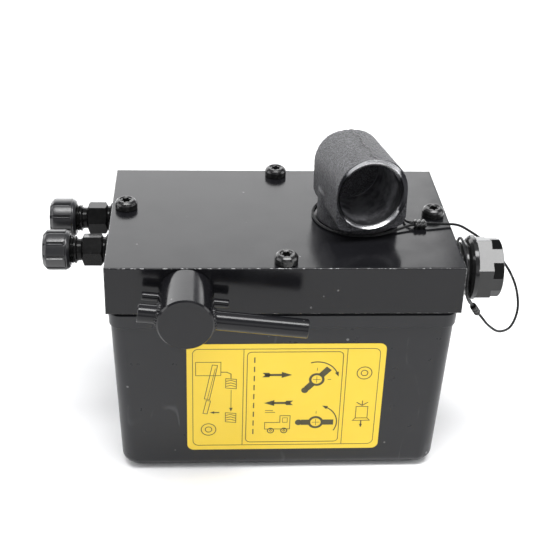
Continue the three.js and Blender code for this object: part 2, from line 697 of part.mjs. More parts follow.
function suctionTube() {
  const { x, bottom } = SUCTION
  return ring(2.8, 4, 22, bottom + 5.6, 'z', [x, PUMP.y, 0], SMALL)
}

function suctionStrainer() {
  return turned([
    [4 + GAP, 30], [6, 30], [12, 26], [12, 9], [10.6, 9], [10.6, 25], [4 + GAP, 28.6], [4 + GAP, 30],
  ], 'z', [SUCTION.x, PUMP.y, 0], MID)
}

function deliverySeat() {
  const low = BLOCK_BOTTOM + 0.4
  return turned([
    [2.6, low], [5.7, low], [5.7, low + 5], [3.6, low + 5], [2.6, low + 4], [2.6, low],
  ], 'z', [DELIVERY.x, DELIVERY.y, 0], SMALL)
}

function reliefBody() {
  const { x, y } = RELIEF
  const body = join(hexPost(19, x, y, BLOCK_BOTTOM - 22, BLOCK_BOTTOM - 0.2),
    rod(7, BLOCK_BOTTOM - 1, BLOCK_BOTTOM + 9, 'z', [x, y, 0], SMALL))
  const chamber = rod(4.8, BLOCK_BOTTOM - 23, BLOCK_BOTTOM + 4, 'z', [x, y, 0], SMALL)
  const seat = rod(1.8, BLOCK_BOTTOM + 3, BLOCK_BOTTOM + 10, 'z', [x, y, 0], TINY)
  const drain = rod(1.5, y - 12, y + 12, 'y', [x, 0, BLOCK_BOTTOM - 6], 8)
  return cut(body, chamber, seat, drain)
}

function reliefPoppet() {
  const top = BLOCK_BOTTOM + 3.6
  return turned([
    [0, top - 8], [2.4, top - 8], [2.4, top - 6], [4.4, top - 6], [4.4, top - 4], [1, top], [0, top],
  ], 'z', [RELIEF.x, RELIEF.y, 0], SMALL)
}

function reliefScrew() {
  const { x, y } = RELIEF
  const body = rod(4.5, BLOCK_BOTTOM - 32, BLOCK_BOTTOM - 15, 'z', [x, y, 0], SMALL)
  const key = hexPost(4, x, y, BLOCK_BOTTOM - 33, BLOCK_BOTTOM - 28)
  return cut(body, key)
}

function reliefLocknut() {
  const { x, y } = RELIEF
  const nut = hexPost(14, x, y, BLOCK_BOTTOM - 28, BLOCK_BOTTOM - 22.4)
  return cut(nut, rod(4.5 + GAP, BLOCK_BOTTOM - 29, BLOCK_BOTTOM - 22, 'z', [x, y, 0], SMALL))
}

function returnTube() {
  const { x, y } = RETURN
  const tube = ring(2.8, 4, 30, BLOCK_BOTTOM + 5, 'z', [x, y, 0], SMALL)
  const slant = new THREE.BoxGeometry(30, 30, 10).rotateY(rad(35)).translate(x + 2, y, 27)
  return cut(tube, solid(slant))
}

// ---------- spool valve ----------
function valveSpool() {
  const r = SPOOL.bore - GAP
  const profile = [
    [0, FRONT - 17], [SPOOL.stem - 0.6, FRONT - 17], [SPOOL.stem, FRONT - 16.4],
    [SPOOL.stem, FRONT + 1], [r, FRONT + 1],
  ]
  for (const at of SPOOL_GROOVES) {
    profile.push([r, FRONT + at], [r - 2.2, FRONT + at], [r - 2.2, FRONT + at + 3], [r, FRONT + at + 3])
  }
  for (const at of SPOOL_WAISTS) {
    profile.push([r, FRONT + at], [r - 2.6, FRONT + at], [r - 2.6, FRONT + at + 8], [r, FRONT + at + 8])
  }
  profile.push([r, FRONT + 81], [0, FRONT + 81])
  const body = turned(profile, 'y', [SPOOL.x, 0, SPOOL.z], SMALL)
  return cut(body, leverPin(CROSS_PIN.radius + GAP, -10, 10, HUB.pinY))
}

const SPOOL_GROOVES = [5, 13]
const SPOOL_WAISTS = [32, 52, 68]

function spoolORing(at) {
  return torus(SPOOL.bore - GAP - 1.1, 0.95, 'y', [SPOOL.x, FRONT + at + 1.5, SPOOL.z], SMALL, 6)
}

// A round bar across the hub, in the lever's drooping direction.
function leverPin(radius, left, right, y, chamfer = 0) {
  const end = radius - chamfer
  const profile = [
    [0, left], [end, left], [radius, left + chamfer], [radius, right - chamfer], [end, right], [0, right],
  ]
    .filter((_, i) => chamfer > 0 || (i !== 2 && i !== 3))
  const geometry = new THREE.LatheGeometry(lathePoints(profile), MID)
  geometry.applyMatrix4(TURN_TO.x)
  geometry.rotateY(rad(LEVER.droop))
  geometry.translate(SPOOL.x, y, SPOOL.z)
  return solid(geometry)
}

function spoolHub() {
  const start = FRONT - 0.4
  const body = turned([
    [0, start], [HUB.radius - 0.5, start], [HUB.radius, start - 0.5], [HUB.radius, start - HUB.length + 0.7],
    [HUB.radius - 0.7, start - HUB.length], [0, start - HUB.length],
  ], 'y', [SPOOL.x, 0, SPOOL.z], BIG)
  const stemHole = rod(SPOOL.stem + GAP, FRONT - 17.4, FRONT, 'y', [SPOOL.x, 0, SPOOL.z], MID)
  return cut(body, stemHole, leverPin(LEVER.radius + GAP, -30, 30, HUB.leverY),
    leverPin(CROSS_PIN.radius + GAP, -30, 30, HUB.pinY))
}

// ---------- lanyard ----------
// The rope's centre line, from the first ferrule round the socket's neck, back
// through the ferrule, over the block's edge, through the second ferrule, round
// the plug's neck and back into the second ferrule.
const T = BLOCK_TOP
const NECK_LOOP = { radius: 26.8, start: -77, end: -342, steps: 10 }

function loopRoundNeck() {
  const { radius, start, end, steps } = NECK_LOOP
  return Array.from({ length: steps + 1 }, (_, i) => {
    const a = rad(start + ((end - start) * i) / steps)
    return [SWING.x + radius * Math.cos(a), SWING.y + radius * Math.sin(a), T + 1]
  })
}

const LANYARD_ROUTE = [
  [81, -15.5, T + 2.4], [76, -15.6, T + 2.2], [70, -18.4, T + 1.6], [62.5, -22, T + 1.1],
  ...loopRoundNeck(),
  [72.7, -2, T + 1.2], [73, -7.6, T + 1.6], [74.8, -11.8, T + 2.1], [78.4, -13.5, T + 2.4],
  [86, -13.7, T + 2.4], [96, -13.2, T + 1.6], [104, -12.6, T + 0.6], [112, -11.8, T - 4],
  [120.5, -11, T - 10.5], [130, -10.8, T - 19.5], [139.2, -12, T - 31], [145, -14.5, T - 44],
  [145.8, -19, T - 55.6], [141, -25, T - 63], [133.4, -30, T - 63], [125.4, -34, T - 56.6],
  [119, -36.4, T - 48.4], [112.2, -38.4, T - 39], [108.4, -44.6, T - 33], [104.8, -50.6, T - 24.6],
  [103.2, -52.8, T - 13.4], [102.6, -48.4, T - 3.2], [102.3, -38.6, T + 2.4], [102.6, -27.2, T],
  [103.2, -19.6, T - 8.4], [104, -18.8, T - 19], [106.4, -24.4, T - 29], [110.2, -33, T - 36.4],
  [113.2, -36.6, T - 41], [115.6, -35.4, T - 44.6],
]

function lanyard() {
  return alongCurve(LANYARD_ROUTE, ROPE, 8, 78)
}

// A pressed sleeve round two strands of the rope.
function ferrule(from, to, across) {
  const a = new THREE.Vector3(...from)
  const b = new THREE.Vector3(...to)
  const along = b.clone().sub(a)
  const side = new THREE.Vector3(...across)
  side.addScaledVector(along, -side.dot(along) / along.lengthSq()).normalize()
  const up = along.clone().normalize().cross(side)
  const slot = (halfWidth, halfHeight) => {
    const points = []
    for (let i = 0; i < 16; i += 1) {
      const t = (2 * Math.PI * i) / 16
      const reach = (halfWidth - halfHeight) * Math.sign(Math.round(Math.cos(t) * 1e6))
      points.push(new THREE.Vector2(reach + halfHeight * Math.cos(t), halfHeight * Math.sin(t)))
    }
    return new THREE.Shape(points)
  }
  const shape = slot(3.5, 2.2)
  shape.holes.push(slot(2.6, 1.3))
  const geometry = new THREE.ExtrudeGeometry(shape, { depth: along.length(), bevelEnabled: false })
  geometry.applyMatrix4(new THREE.Matrix4().makeBasis(side, up, along.clone().normalize()))
  geometry.translate(...from)
  return solid(geometry)
}

// ---------- assembly ----------
const unit = new THREE.Group()

function add(name, manifold, material) {
  const mesh = new THREE.Mesh(geometryOf(manifold), material)
  mesh.name = name
  unit.add(mesh)
}

add('reservoir', reservoir(), LOOK.tankPlastic)
add('tank_gasket', tankGasket(), LOOK.rubber)
add('instruction_label', instructionLabel(), LOOK.label)
add('pump_block', pumpBlock(), LOOK.blackPaint)
for (const [place, at] of Object.entries(SCREWS)) {
  add(`screw_insert_${place}`, screwInsert(at), LOOK.brass)
  add(`cover_screw_${place}`, coverScrew(at), LOOK.blackSteel)
}
for (const [place, y] of Object.entries(FITTINGS)) {
  add(`port_fitting_${place}`, portFitting(y), LOOK.blackSteel)
  add(`fitting_seal_${place}`, fittingSeal(y), LOOK.rubber)
  add(`port_cap_${place}`, portCap(y), LOOK.capPlastic)
}
add('filler_plug', fillerPlug(), LOOK.blackSteel)
add('filler_seal', fillerSeal(), LOOK.rubber)

add('lever_socket', leverSocket(), LOOK.casting)
add('pump_shaft', pumpShaft(), LOOK.steel)
add('shaft_bush', shaftBush(), LOOK.bronze)
add('shaft_seal', shaftSeal(), LOOK.rubber)
add('seal_retainer', sealRetainer(), LOOK.steel)
add('crank_arm', crankArm(), LOOK.steel)
add('crank_pin', crankPin(), LOOK.steel)
add('crank_roll_pin', crankRollPin(), LOOK.steel)

add('pump_cylinder', pumpCylinder(), LOOK.steel)
for (const [place, x] of [['left', PUMP_SCREWS[0]], ['right', PUMP_SCREWS[1]]]) {
  add(`cylinder_screw_${place}`, cylinderScrew(x), LOOK.blackSteel)
}
for (const [place, side] of [['left', -1], ['right', 1]]) {
  add(`end_plug_${place}`, endPlug(side), LOOK.blackSteel)
  add(`piston_seal_${place}`, pistonSeal(side), LOOK.rubber)
}
add('pump_piston', pumpPiston(), LOOK.steel)

add('suction_fitting', suctionFitting(), LOOK.brass)
add('suction_ball', ball(SUCTION.x, PUMP.y, SUCTION_BALL_Z), LOOK.steel)
add('suction_spring',
  spring(SUCTION.x, PUMP.y, SUCTION_BALL_Z + 4.3, PUMP.bottom + 5, 3, 0.5, 3), LOOK.steel)
add('suction_tube', suctionTube(), LOOK.steel)
add('suction_strainer', suctionStrainer(), LOOK.mesh)
add('delivery_seat', deliverySeat(), LOOK.brass)
add('delivery_ball', ball(DELIVERY.x, DELIVERY.y, DELIVERY_BALL_Z + 1.6), LOOK.steel)
add('delivery_spring',
  spring(DELIVERY.x, DELIVERY.y, DELIVERY_BALL_Z + 5.9, BLOCK_BOTTOM + 19.7, 3.2, 0.5, 3), LOOK.steel)
add('relief_body', reliefBody(), LOOK.brass)
add('relief_poppet', reliefPoppet(), LOOK.steel)
add('relief_spring',
  spring(RELIEF.x, RELIEF.y, BLOCK_BOTTOM - 14.6, BLOCK_BOTTOM - 4.8, 3.6, 0.5, 3), LOOK.steel)
add('relief_screw', reliefScrew(), LOOK.steel)
add('relief_locknut', reliefLocknut(), LOOK.steel)
add('return_tube', returnTube(), LOOK.steel)

add('valve_spool', valveSpool(), LOOK.steel)
add('spool_o_ring_front', spoolORing(SPOOL_GROOVES[0]), LOOK.rubber)
add('spool_o_ring_back', spoolORing(SPOOL_GROOVES[1]), LOOK.rubber)
add('spool_hub', spoolHub(), LOOK.blackPaint)
add('spool_lever', leverPin(LEVER.radius, LEVER.left, LEVER.right, HUB.leverY, 0.5), LOOK.blackPaint)
add('hub_cross_pin',
  leverPin(CROSS_PIN.radius, CROSS_PIN.left, CROSS_PIN.right, HUB.pinY, 0.8), LOOK.blackPaint)

add('lanyard', lanyard(), LOOK.rope)
add('lanyard_ferrule_socket',
  ferrule([77.4, -14.5, T + 2.4], [84.6, -14.5, T + 2.4], [0, 1, 0]), LOOK.blackSteel)
add('lanyard_ferrule_plug',
  ferrule([112.7, -37.4, T - 39.8], [116.5, -36, T - 45.7], [0, 1, 0]), LOOK.blackSteel)

export default unit
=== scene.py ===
"""The looks of a hand-operated hydraulic power unit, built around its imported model."""

import json
import math

import bmesh
import bpy
from mathutils import Matrix, Vector, noise


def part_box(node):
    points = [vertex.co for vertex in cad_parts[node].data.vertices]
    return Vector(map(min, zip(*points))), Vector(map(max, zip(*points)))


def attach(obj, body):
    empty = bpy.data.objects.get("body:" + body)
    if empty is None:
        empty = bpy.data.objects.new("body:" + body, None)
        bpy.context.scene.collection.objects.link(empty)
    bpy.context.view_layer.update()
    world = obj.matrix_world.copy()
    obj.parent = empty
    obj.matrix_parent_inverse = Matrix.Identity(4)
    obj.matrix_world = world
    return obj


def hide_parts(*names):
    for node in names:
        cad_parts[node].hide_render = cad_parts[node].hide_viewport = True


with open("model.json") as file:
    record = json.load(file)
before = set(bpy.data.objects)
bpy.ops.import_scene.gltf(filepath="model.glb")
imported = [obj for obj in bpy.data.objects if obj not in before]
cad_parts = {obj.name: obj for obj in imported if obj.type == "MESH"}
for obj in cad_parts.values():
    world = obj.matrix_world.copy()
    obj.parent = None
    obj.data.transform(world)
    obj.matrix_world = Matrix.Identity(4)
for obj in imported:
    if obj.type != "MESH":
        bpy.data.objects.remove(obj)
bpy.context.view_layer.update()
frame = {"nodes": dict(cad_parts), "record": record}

MM = 0.001  # sizes below are in millimetres, unless they say metres


# ---------- places taken from the frame ----------
def extent(node):
    """A node's lowest and highest corners, in millimetres."""
    low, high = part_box(node)
    return low / MM, high / MM


def middle(node):
    low, high = extent(node)
    return (low + high) / 2


BLOCK_LOW, BLOCK_HIGH = extent("pump_block")
TANK_HIGH = extent("reservoir")[1]
TOP = BLOCK_HIGH.z
FRONT = BLOCK_LOW.y
LEFT_FACE = BLOCK_LOW.x
RIGHT_FACE = BLOCK_HIGH.x
PORT_LEVEL = middle("filler_seal").z
SWING = middle("pump_shaft")
SPOOL = middle("spool_hub")


# ---------- camera, lights and floor ----------
CAMERA_PLACE = (-0.046594, -0.617343, 0.464033)  # metres
CAMERA_YAW, CAMERA_PITCH, CAMERA_ROLL = -4.42466, 30.57851, 2.15949  # degrees
CAMERA_LENS, CAMERA_SENSOR = 75.505, 36.0


def make_camera():
    data = bpy.data.cameras.new("camera")
    data.lens = CAMERA_LENS
    data.sensor_width = CAMERA_SENSOR
    camera = bpy.data.objects.new("camera", data)
    bpy.context.scene.collection.objects.link(camera)
    yaw = Matrix.Rotation(math.radians(CAMERA_YAW), 4, "Z")
    pitch = Matrix.Rotation(math.radians(90 - CAMERA_PITCH), 4, "X")
    roll = Matrix.Rotation(math.radians(CAMERA_ROLL), 4, "Z")
    camera.matrix_world = Matrix.Translation(CAMERA_PLACE) @ yaw @ pitch @ roll
    bpy.context.scene.camera = camera


def make_softbox(name, place, target, width, height, radiance):
    """A rectangular light that faces a point; places and sizes in metres."""
    data = bpy.data.lights.new(name, "AREA")
    data.shape = "RECTANGLE"
    data.size, data.size_y = width, height
    data.energy = radiance * math.pi * width * height
    light = bpy.data.objects.new(name, data)
    bpy.context.scene.collection.objects.link(light)
    light.location = place
    light.rotation_euler = (Vector(target) - Vector(place)).to_track_quat("-Z", "Y").to_euler()
    light.visible_camera = False


def make_lights():
    make_softbox("overhead", (0.12, -0.3, 1.3), (0.12, -0.3, 0), 1.1, 0.42, 14)
    make_softbox("ceiling", (0, 0.1, 2.6), (0, 0, 0), 3.4, 2.6, 0.45)
    make_softbox("rear_panel", (-0.56, 1.5, 0.68), (0, 0, 0.4), 2.3, 1.3, 2.7)
    make_softbox("low_rear_panel", (0.9, 1.5, 0.4), (0, 0, 0.3), 1.0, 0.55, 2.6)
    make_softbox("front_fill", (0.5, -1.9, 0.9), (0, 0, 0.1), 1.2, 0.9, 0.85)
    for side in (-1, 1):
        make_softbox("side_panel", (1.35 * side, -0.25, 0.52), (0, 0, 0.1), 1.3, 0.5, 3.2)
    world = bpy.data.worlds.new("studio")
    world.use_nodes = True
    background = world.node_tree.nodes["Background"]
    background.inputs["Color"].default_value = (0.93, 0.95, 1.0, 1)
    background.inputs["Strength"].default_value = 0.34
    bpy.context.scene.world = world
    bpy.context.scene.view_settings.view_transform = "Standard"


FLOOR_HALF = 6.0  # metres


def make_floor():
    mesh = bpy.data.meshes.new("floor")
    corners = [(-FLOOR_HALF, -FLOOR_HALF), (FLOOR_HALF, -FLOOR_HALF), (FLOOR_HALF, FLOOR_HALF),
               (-FLOOR_HALF, FLOOR_HALF)]
    mesh.from_pydata([(x, y, -0.0002) for x, y in corners], [], [(0, 1, 2, 3)])
    floor = bpy.data.objects.new("floor", mesh)
    bpy.context.scene.collection.objects.link(floor)
    material, _, shader = new_material("pale_floor")
    shader.inputs["Base Color"].default_value = (0.9, 0.9, 0.9, 1)
    shader.inputs["Roughness"].default_value = 0.7
    mesh.materials.append(material)


# ---------- shader helpers ----------
def new_material(name):
    material = bpy.data.materials.new(name)
    material.use_nodes = True
    tree = material.node_tree
    return material, tree, tree.nodes["Principled BSDF"]


def node(tree, kind, inputs=None, **settings):
    """Adds a node; an input is a value or another node's output."""
    made = tree.nodes.new("ShaderNode" + kind)
    for key, value in settings.items():
        setattr(made, key, value)
    for key, value in (inputs or {}).items():
        if isinstance(value, bpy.types.NodeSocket):
            tree.links.new(value, made.inputs[key])
        else:
            made.inputs[key].default_value = value
    return made


def place_of(tree):
    """The point on the piece, in metres, which goes with the piece."""
    return node(tree, "TexCoord").outputs["Object"]


def grain(tree, size_mm, detail=3.0, rough=0.5, stretch=(1, 1, 1)):
    """Noise from 0 to 1 with features of that size."""
    scaled = node(tree, "Mapping", {"Vector": place_of(tree), "Scale": stretch})
    return node(tree, "TexNoise", {
        "Vector": scaled.outputs["Vector"], "Scale": 1 / (size_mm * MM),
        "Detail": detail, "Roughness": rough,
    }).outputs["Fac"]


def between(tree, value, low, high, to_low=0.0, to_high=1.0):
    return node(tree, "MapRange", {
        "Value": value, "From Min": low, "From Max": high, "To Min": to_low, "To Max": to_high,
    }, interpolation_type="SMOOTHSTEP").outputs["Result"]


def maths(tree, operation, a, b=0.0):
    return node(tree, "Math", {0: a, 1: b}, operation=operation).outputs[0]


def blend(tree, share, a, b):
    """Two colours mixed; each is a tuple or another node's output."""
    made = node(tree, "Mix", {"Factor": share}, data_type="RGBA")
    for key, value in (("A", a), ("B", b)):
        colour_input = next(i for i in made.inputs if i.name == key and i.type == "RGBA")
        if isinstance(value, bpy.types.NodeSocket):
            tree.links.new(value, colour_input)
        else:
            colour_input.default_value = (*value, 1)
    return next(o for o in made.outputs if o.type == "RGBA")


def bump(tree, shader, height, depth_mm, strength=1.0, before=None):
    """Bump of that depth; before is an earlier bump that it adds to."""
    made = node(tree, "Bump", {"Height": height, "Distance": depth_mm * MM, "Strength": strength})
    if before:
        tree.links.new(before, made.inputs["Normal"])
    tree.links.new(made.outputs["Normal"], shader.inputs["Normal"])
    return made.outputs["Normal"]


def specks(tree, size_mm, amount):
    """Small round spots, 1 inside and 0 outside."""
    cells = node(tree, "TexVoronoi", {"Vector": place_of(tree), "Scale": 1 / (size_mm * MM)})
    chosen = node(tree, "SeparateColor", {"Color": cells.outputs["Color"]})
    near = between(tree, cells.outputs["Distance"], 0.12, 0.06)
    rare = maths(tree, "LESS_THAN", chosen.outputs["Red"], amount)
    return maths(tree, "MULTIPLY", near, rare)


SCRATCH_WIDTH = 0.012  # as a share of the noise's range


def scratches(tree, size_mm, stretch):
    """Thin long marks: where a stretched noise crosses its middle value."""
    wavy = grain(tree, size_mm, 2.0, 0.4, stretch)
    off = maths(tree, "ABSOLUTE", maths(tree, "SUBTRACT", wavy, 0.5))
    return between(tree, off, SCRATCH_WIDTH, 0.0)


def edge_distance(tree, low, high):
    """How far a point on a box's skin is from the box's nearest edge, in metres."""
    at = node(tree, "SeparateXYZ", {"Vector": place_of(tree)})
    inward = []
    for axis, (a, b) in zip("XYZ", zip(low, high)):
        centred = maths(tree, "SUBTRACT", at.outputs[axis], (a + b) / 2 * MM)
        inward.append(maths(tree, "SUBTRACT", (b - a) / 2 * MM, maths(tree, "ABSOLUTE", centred)))
    x, y, z = inward
    pairs = [maths(tree, "MAXIMUM", x, y), maths(tree, "MAXIMUM", y, z), maths(tree, "MAXIMUM", x, z)]
    return maths(tree, "MINIMUM", maths(tree, "MINIMUM", pairs[0], pairs[1]), pairs[2])


# ---------- materials ----------
def black_paint(name, shine, worn_box=None):
    """Glossy black paint with orange peel and dust; on a box, bare steel along its edges."""
    material, tree, shader = new_material(name)
    cloud = grain(tree, 45, 3.0, 0.55)
    dust = specks(tree, 7, 0.16)
    colour = blend(tree, cloud, (0.005, 0.005, 0.006), (0.009, 0.009, 0.0105))
    colour = blend(tree, maths(tree, "MULTIPLY", dust, 0.5), colour, (0.2, 0.2, 0.2))
    rough = between(tree, grain(tree, 20, 4.0, 0.6), 0.3, 0.75, 0.14, 0.23)
    if worn_box:
        ragged = maths(tree, "MULTIPLY", between(tree, grain(tree, 2.6, 4.0, 0.65), 0.4, 0.7), 0.00055)
        off = maths(tree, "SUBTRACT", edge_distance(tree, *worn_box), ragged)
        worn = between(tree, off, 0.00012, -0.0001)
        colour = blend(tree, worn, colour, (0.2, 0.2, 0.2))
        rough = maths(tree, "ADD", rough, maths(tree, "MULTIPLY", worn, 0.22))
        metal = maths(tree, "MULTIPLY", worn, 0.6)
        tree.links.new(metal, shader.inputs["Metallic"])
    tree.links.new(colour, shader.inputs["Base Color"])
    tree.links.new(rough, shader.inputs["Roughness"])
    shader.inputs["Specular IOR Level"].default_value = shine
    peel = bump(tree, shader, grain(tree, 2.4, 2.0, 0.5), 0.012)
    bump(tree, shader, dust, 0.02, 1.0, peel)
    return material


def tank_plastic():
    """Satin dark grey polypropylene with a fine moulded grain and a few scuffs."""
    material, tree, shader = new_material("tank_plastic")
    colour = blend(tree, grain(tree, 60, 3.0, 0.5), (0.0105, 0.0108, 0.0125), (0.0165, 0.017, 0.0195))
    patchy = between(tree, grain(tree, 30), 0.5, 0.7)
    marks = maths(tree, "MULTIPLY", scratches(tree, 26, (1, 1, 0.18)), patchy)
    colour = blend(tree, maths(tree, "MULTIPLY", marks, 0.35), colour, (0.11, 0.11, 0.12))
    colour = blend(tree, maths(tree, "MULTIPLY", specks(tree, 9, 0.12), 0.6), colour, (0.25, 0.25, 0.25))
    tree.links.new(colour, shader.inputs["Base Color"])
    rough = between(tree, grain(tree, 12, 4.0, 0.6), 0.3, 0.7, 0.27, 0.36)
    tree.links.new(rough, shader.inputs["Roughness"])
    shader.inputs["Specular IOR Level"].default_value = 0.33
    first = bump(tree, shader, grain(tree, 0.35, 2.0, 0.6), 0.006)
    bump(tree, shader, grain(tree, 24, 2.0, 0.5), 0.12, 1.0, first)
    return material


def cast_skin():
    """Dark sand-cast iron: sandy, blotchy and half dull, with the mould's parting line."""
    material, tree, shader = new_material("cast_skin")
    blotch = between(tree, grain(tree, 6, 4.0, 0.6), 0.35, 0.7)
    sand = between(tree, grain(tree, 0.75, 3.0, 0.75), 0.43, 0.6)
    colour = blend(tree, sand, (0.004, 0.004, 0.005), (0.1, 0.1, 0.11))
    colour = blend(tree, maths(tree, "MULTIPLY", blotch, 0.4), colour, (0.022, 0.022, 0.025))
    colour = blend(tree, parting_line(tree), colour, (0.002, 0.002, 0.002))
    tree.links.new(colour, shader.inputs["Base Color"])
    rough = between(tree, grain(tree, 1.4, 4.0, 0.6), 0.3, 0.7, 0.3, 0.52)
    tree.links.new(rough, shader.inputs["Roughness"])
    shader.inputs["Metallic"].default_value = 0.4
    first = bump(tree, shader, grain(tree, 0.75, 3.0, 0.75), 0.5)
    bump(tree, shader, grain(tree, 0.3, 2.0, 0.6), 0.05, 1.0, first)
    return material


PARTING = {"x": 1.5, "swing": 0.7, "rate": 0.33, "width": 0.75}  # the parting line, in socket millimetres


def socket_place(tree):
    """A shading point's place in the socket's own frame, as X, Y and Z."""
    place, turn = socket_frame().inverted().decompose()[:2]
    local = node(tree, "Mapping", {
        "Vector": place_of(tree), "Location": place * MM, "Rotation": turn.to_euler(), "Scale": (1, 1, 1),
    })
    return node(tree, "SeparateXYZ", {"Vector": local.outputs["Vector"]})


def parting_line(tree):
    """1 along the wandering line where the casting's mould halves met, over its top."""
    at = socket_place(tree)
    wave = maths(tree, "SINE", maths(tree, "MULTIPLY", at.outputs["Y"], PARTING["rate"] / MM))
    wander = maths(tree, "MULTIPLY", wave, PARTING["swing"] * MM)
    centred = maths(tree, "SUBTRACT", maths(tree, "SUBTRACT", at.outputs["X"], PARTING["x"] * MM), wander)
    near = between(tree, maths(tree, "ABSOLUTE", centred), PARTING["width"] * MM, 0.2 * MM)
    broken = between(tree, grain(tree, 2.2, 3.0, 0.6), 0.36, 0.52)
    upper = maths(tree, "GREATER_THAN", at.outputs["Z"], 0.0)
    return maths(tree, "MULTIPLY", maths(tree, "MULTIPLY", near, broken), upper)


def ring_steel():
    """The mouth's ground ring: bright, stained steel above and below, and painted shade that darkens its
    sides.
    """
    material, tree, shader = new_material("chamfer_steel")
    sideways = maths(tree, "ABSOLUTE", socket_place(tree).outputs["X"])
    ragged = maths(tree, "ADD", sideways, maths(tree, "MULTIPLY", grain(tree, 2.5, 3.0, 0.6), 4 * MM))
    # painted shade: the ring's sides turn near black, standing in for the dark reflection there; the grey
    # tones below are real stains
    side = between(tree, ragged, 15.5 * MM, 18.5 * MM)
    stain = blend(tree, grain(tree, 7, 4.0, 0.6), (0.68, 0.68, 0.69), (0.46, 0.46, 0.47))
    tree.links.new(blend(tree, side, stain, (0.03, 0.03, 0.033)), shader.inputs["Base Color"])
    lines = grain(tree, 0.3, 2.0, 0.5)
    tree.links.new(between(tree, lines, 0.3, 0.7, 0.2, 0.34), shader.inputs["Roughness"])
    shader.inputs["Metallic"].default_value = 1.0
    bump(tree, shader, lines, 0.006)
    return material


def bore_steel():
    """The rough-machined bore: grey with streaks deeper in, and darker towards its mouth."""
    material, tree, shader = new_material("bore_steel")
    inwards = maths(tree, "ADD", socket_place(tree).outputs["Y"], SOCKET["front"] * MM)
    ragged = maths(tree, "ADD", inwards, maths(tree, "MULTIPLY", grain(tree, 5, 3.0, 0.6), 8 * MM))
    # the bore is near black for its first 9 to 19 mm from the mouth and grey with streaks deeper in
    grey_deeper_in = between(tree, ragged, 9 * MM, 19 * MM)
    streak = between(tree, grain(tree, 7, 4.0, 0.6), 0.35, 0.7)
    colour = blend(tree, streak, (0.36, 0.36, 0.38), (0.14, 0.14, 0.15))
    tree.links.new(blend(tree, grey_deeper_in, (0.03, 0.03, 0.032), colour), shader.inputs["Base Color"])
    lines = grain(tree, 0.5, 2.0, 0.5)
    tree.links.new(between(tree, lines, 0.3, 0.7, 0.3, 0.46), shader.inputs["Roughness"])
    shader.inputs["Metallic"].default_value = 0.7
    bump(tree, shader, lines, 0.006)
    return material


def turned_metal(name, light, dark, rough_low, rough_high, line_mm=0.22):
    """Machined metal: fine tool marks and light staining."""
    material, tree, shader = new_material(name)
    stain = between(tree, grain(tree, 7, 4.0, 0.6), 0.35, 0.7)
    tree.links.new(blend(tree, stain, light, dark), shader.inputs["Base Color"])
    lines = grain(tree, line_mm, 2.0, 0.5)
    tree.links.new(between(tree, lines, 0.3, 0.7, rough_low, rough_high), shader.inputs["Roughness"])
    shader.inputs["Metallic"].default_value = 1.0
    bump(tree, shader, lines, 0.006)
    return material


def black_oxide(name, lift=1.0, patch=1.0, shine=0.5):
    """Oiled black-oxide steel: nearly black, glossy, with a little bare metal in its colour."""
    material, tree, shader = new_material(name)
    dark = (0.008 * lift,) * 3
    pale = (dark[0] + 0.015 * patch,) * 3
    worn = between(tree, grain(tree, 3, 4.0, 0.6), 0.4, 0.72)
    tree.links.new(blend(tree, worn, dark, pale), shader.inputs["Base Color"])
    rough = between(tree, grain(tree, 1.2, 3.0, 0.6), 0.3, 0.7, 0.15, 0.15 + 0.08 * patch)
    tree.links.new(rough, shader.inputs["Roughness"])
    shader.inputs["Metallic"].default_value = 0.15
    shader.inputs["Specular IOR Level"].default_value = shine
    bump(tree, shader, grain(tree, 0.8, 3.0, 0.6), 0.004 * patch)
    return material


def cap_plastic():
    """Black moulded plastic with flow marks."""
    material, tree, shader = new_material("cap_plastic")
    colour = blend(tree, grain(tree, 6, 3.0, 0.5), (0.005, 0.005, 0.006), (0.011, 0.011, 0.0125))
    tree.links.new(colour, shader.inputs["Base Color"])
    rough = between(tree, grain(tree, 1.6, 4.0, 0.65), 0.3, 0.7, 0.28, 0.36)
    tree.links.new(rough, shader.inputs["Roughness"])
    shader.inputs["Specular IOR Level"].default_value = 0.7
    bump(tree, shader, grain(tree, 0.5, 3.0, 0.6), 0.006)
    return material


def rubber(name="seal_rubber"):
    """Dull black rubber with a little bloom."""
    material, tree, shader = new_material(name)
    bloom = between(tree, grain(tree, 4, 4.0, 0.6), 0.45, 0.8)
    colour = blend(tree, bloom, (0.006, 0.006, 0.006), (0.02, 0.02, 0.021))
    tree.links.new(colour, shader.inputs["Base Color"])
    tree.links.new(between(tree, grain(tree, 1.5), 0.3, 0.7, 0.55, 0.75), shader.inputs["Roughness"])
    bump(tree, shader, grain(tree, 0.4, 3.0, 0.6), 0.02)
    return material


def label_film():
    """Yellow printed film with a soft sheen."""
    material, tree, shader = new_material("label_film")
    colour = blend(tree, grain(tree, 18, 3.0, 0.5), (0.8, 0.56, 0.03), (0.84, 0.6, 0.042))
    tree.links.new(colour, shader.inputs["Base Color"])
    tree.links.new(between(tree, grain(tree, 5, 3.0, 0.5), 0.3, 0.7, 0.34, 0.44), shader.inputs["Roughness"])
    bump(tree, shader, grain(tree, 6, 2.0, 0.5), 0.03)
    return material


def label_ink():
    """Dark olive print, slightly broken by the film's grain."""
    material, tree, shader = new_material("label_ink")
    worn = between(tree, grain(tree, 0.5, 3.0, 0.6), 0.62, 0.8)
    tree.links.new(blend(tree, worn, (0.055, 0.05, 0.016), (0.2, 0.15, 0.03)), shader.inputs["Base Color"])
    tree.links.new(between(tree, grain(tree, 2), 0.3, 0.7, 0.42, 0.52), shader.inputs["Roughness"])
    return material


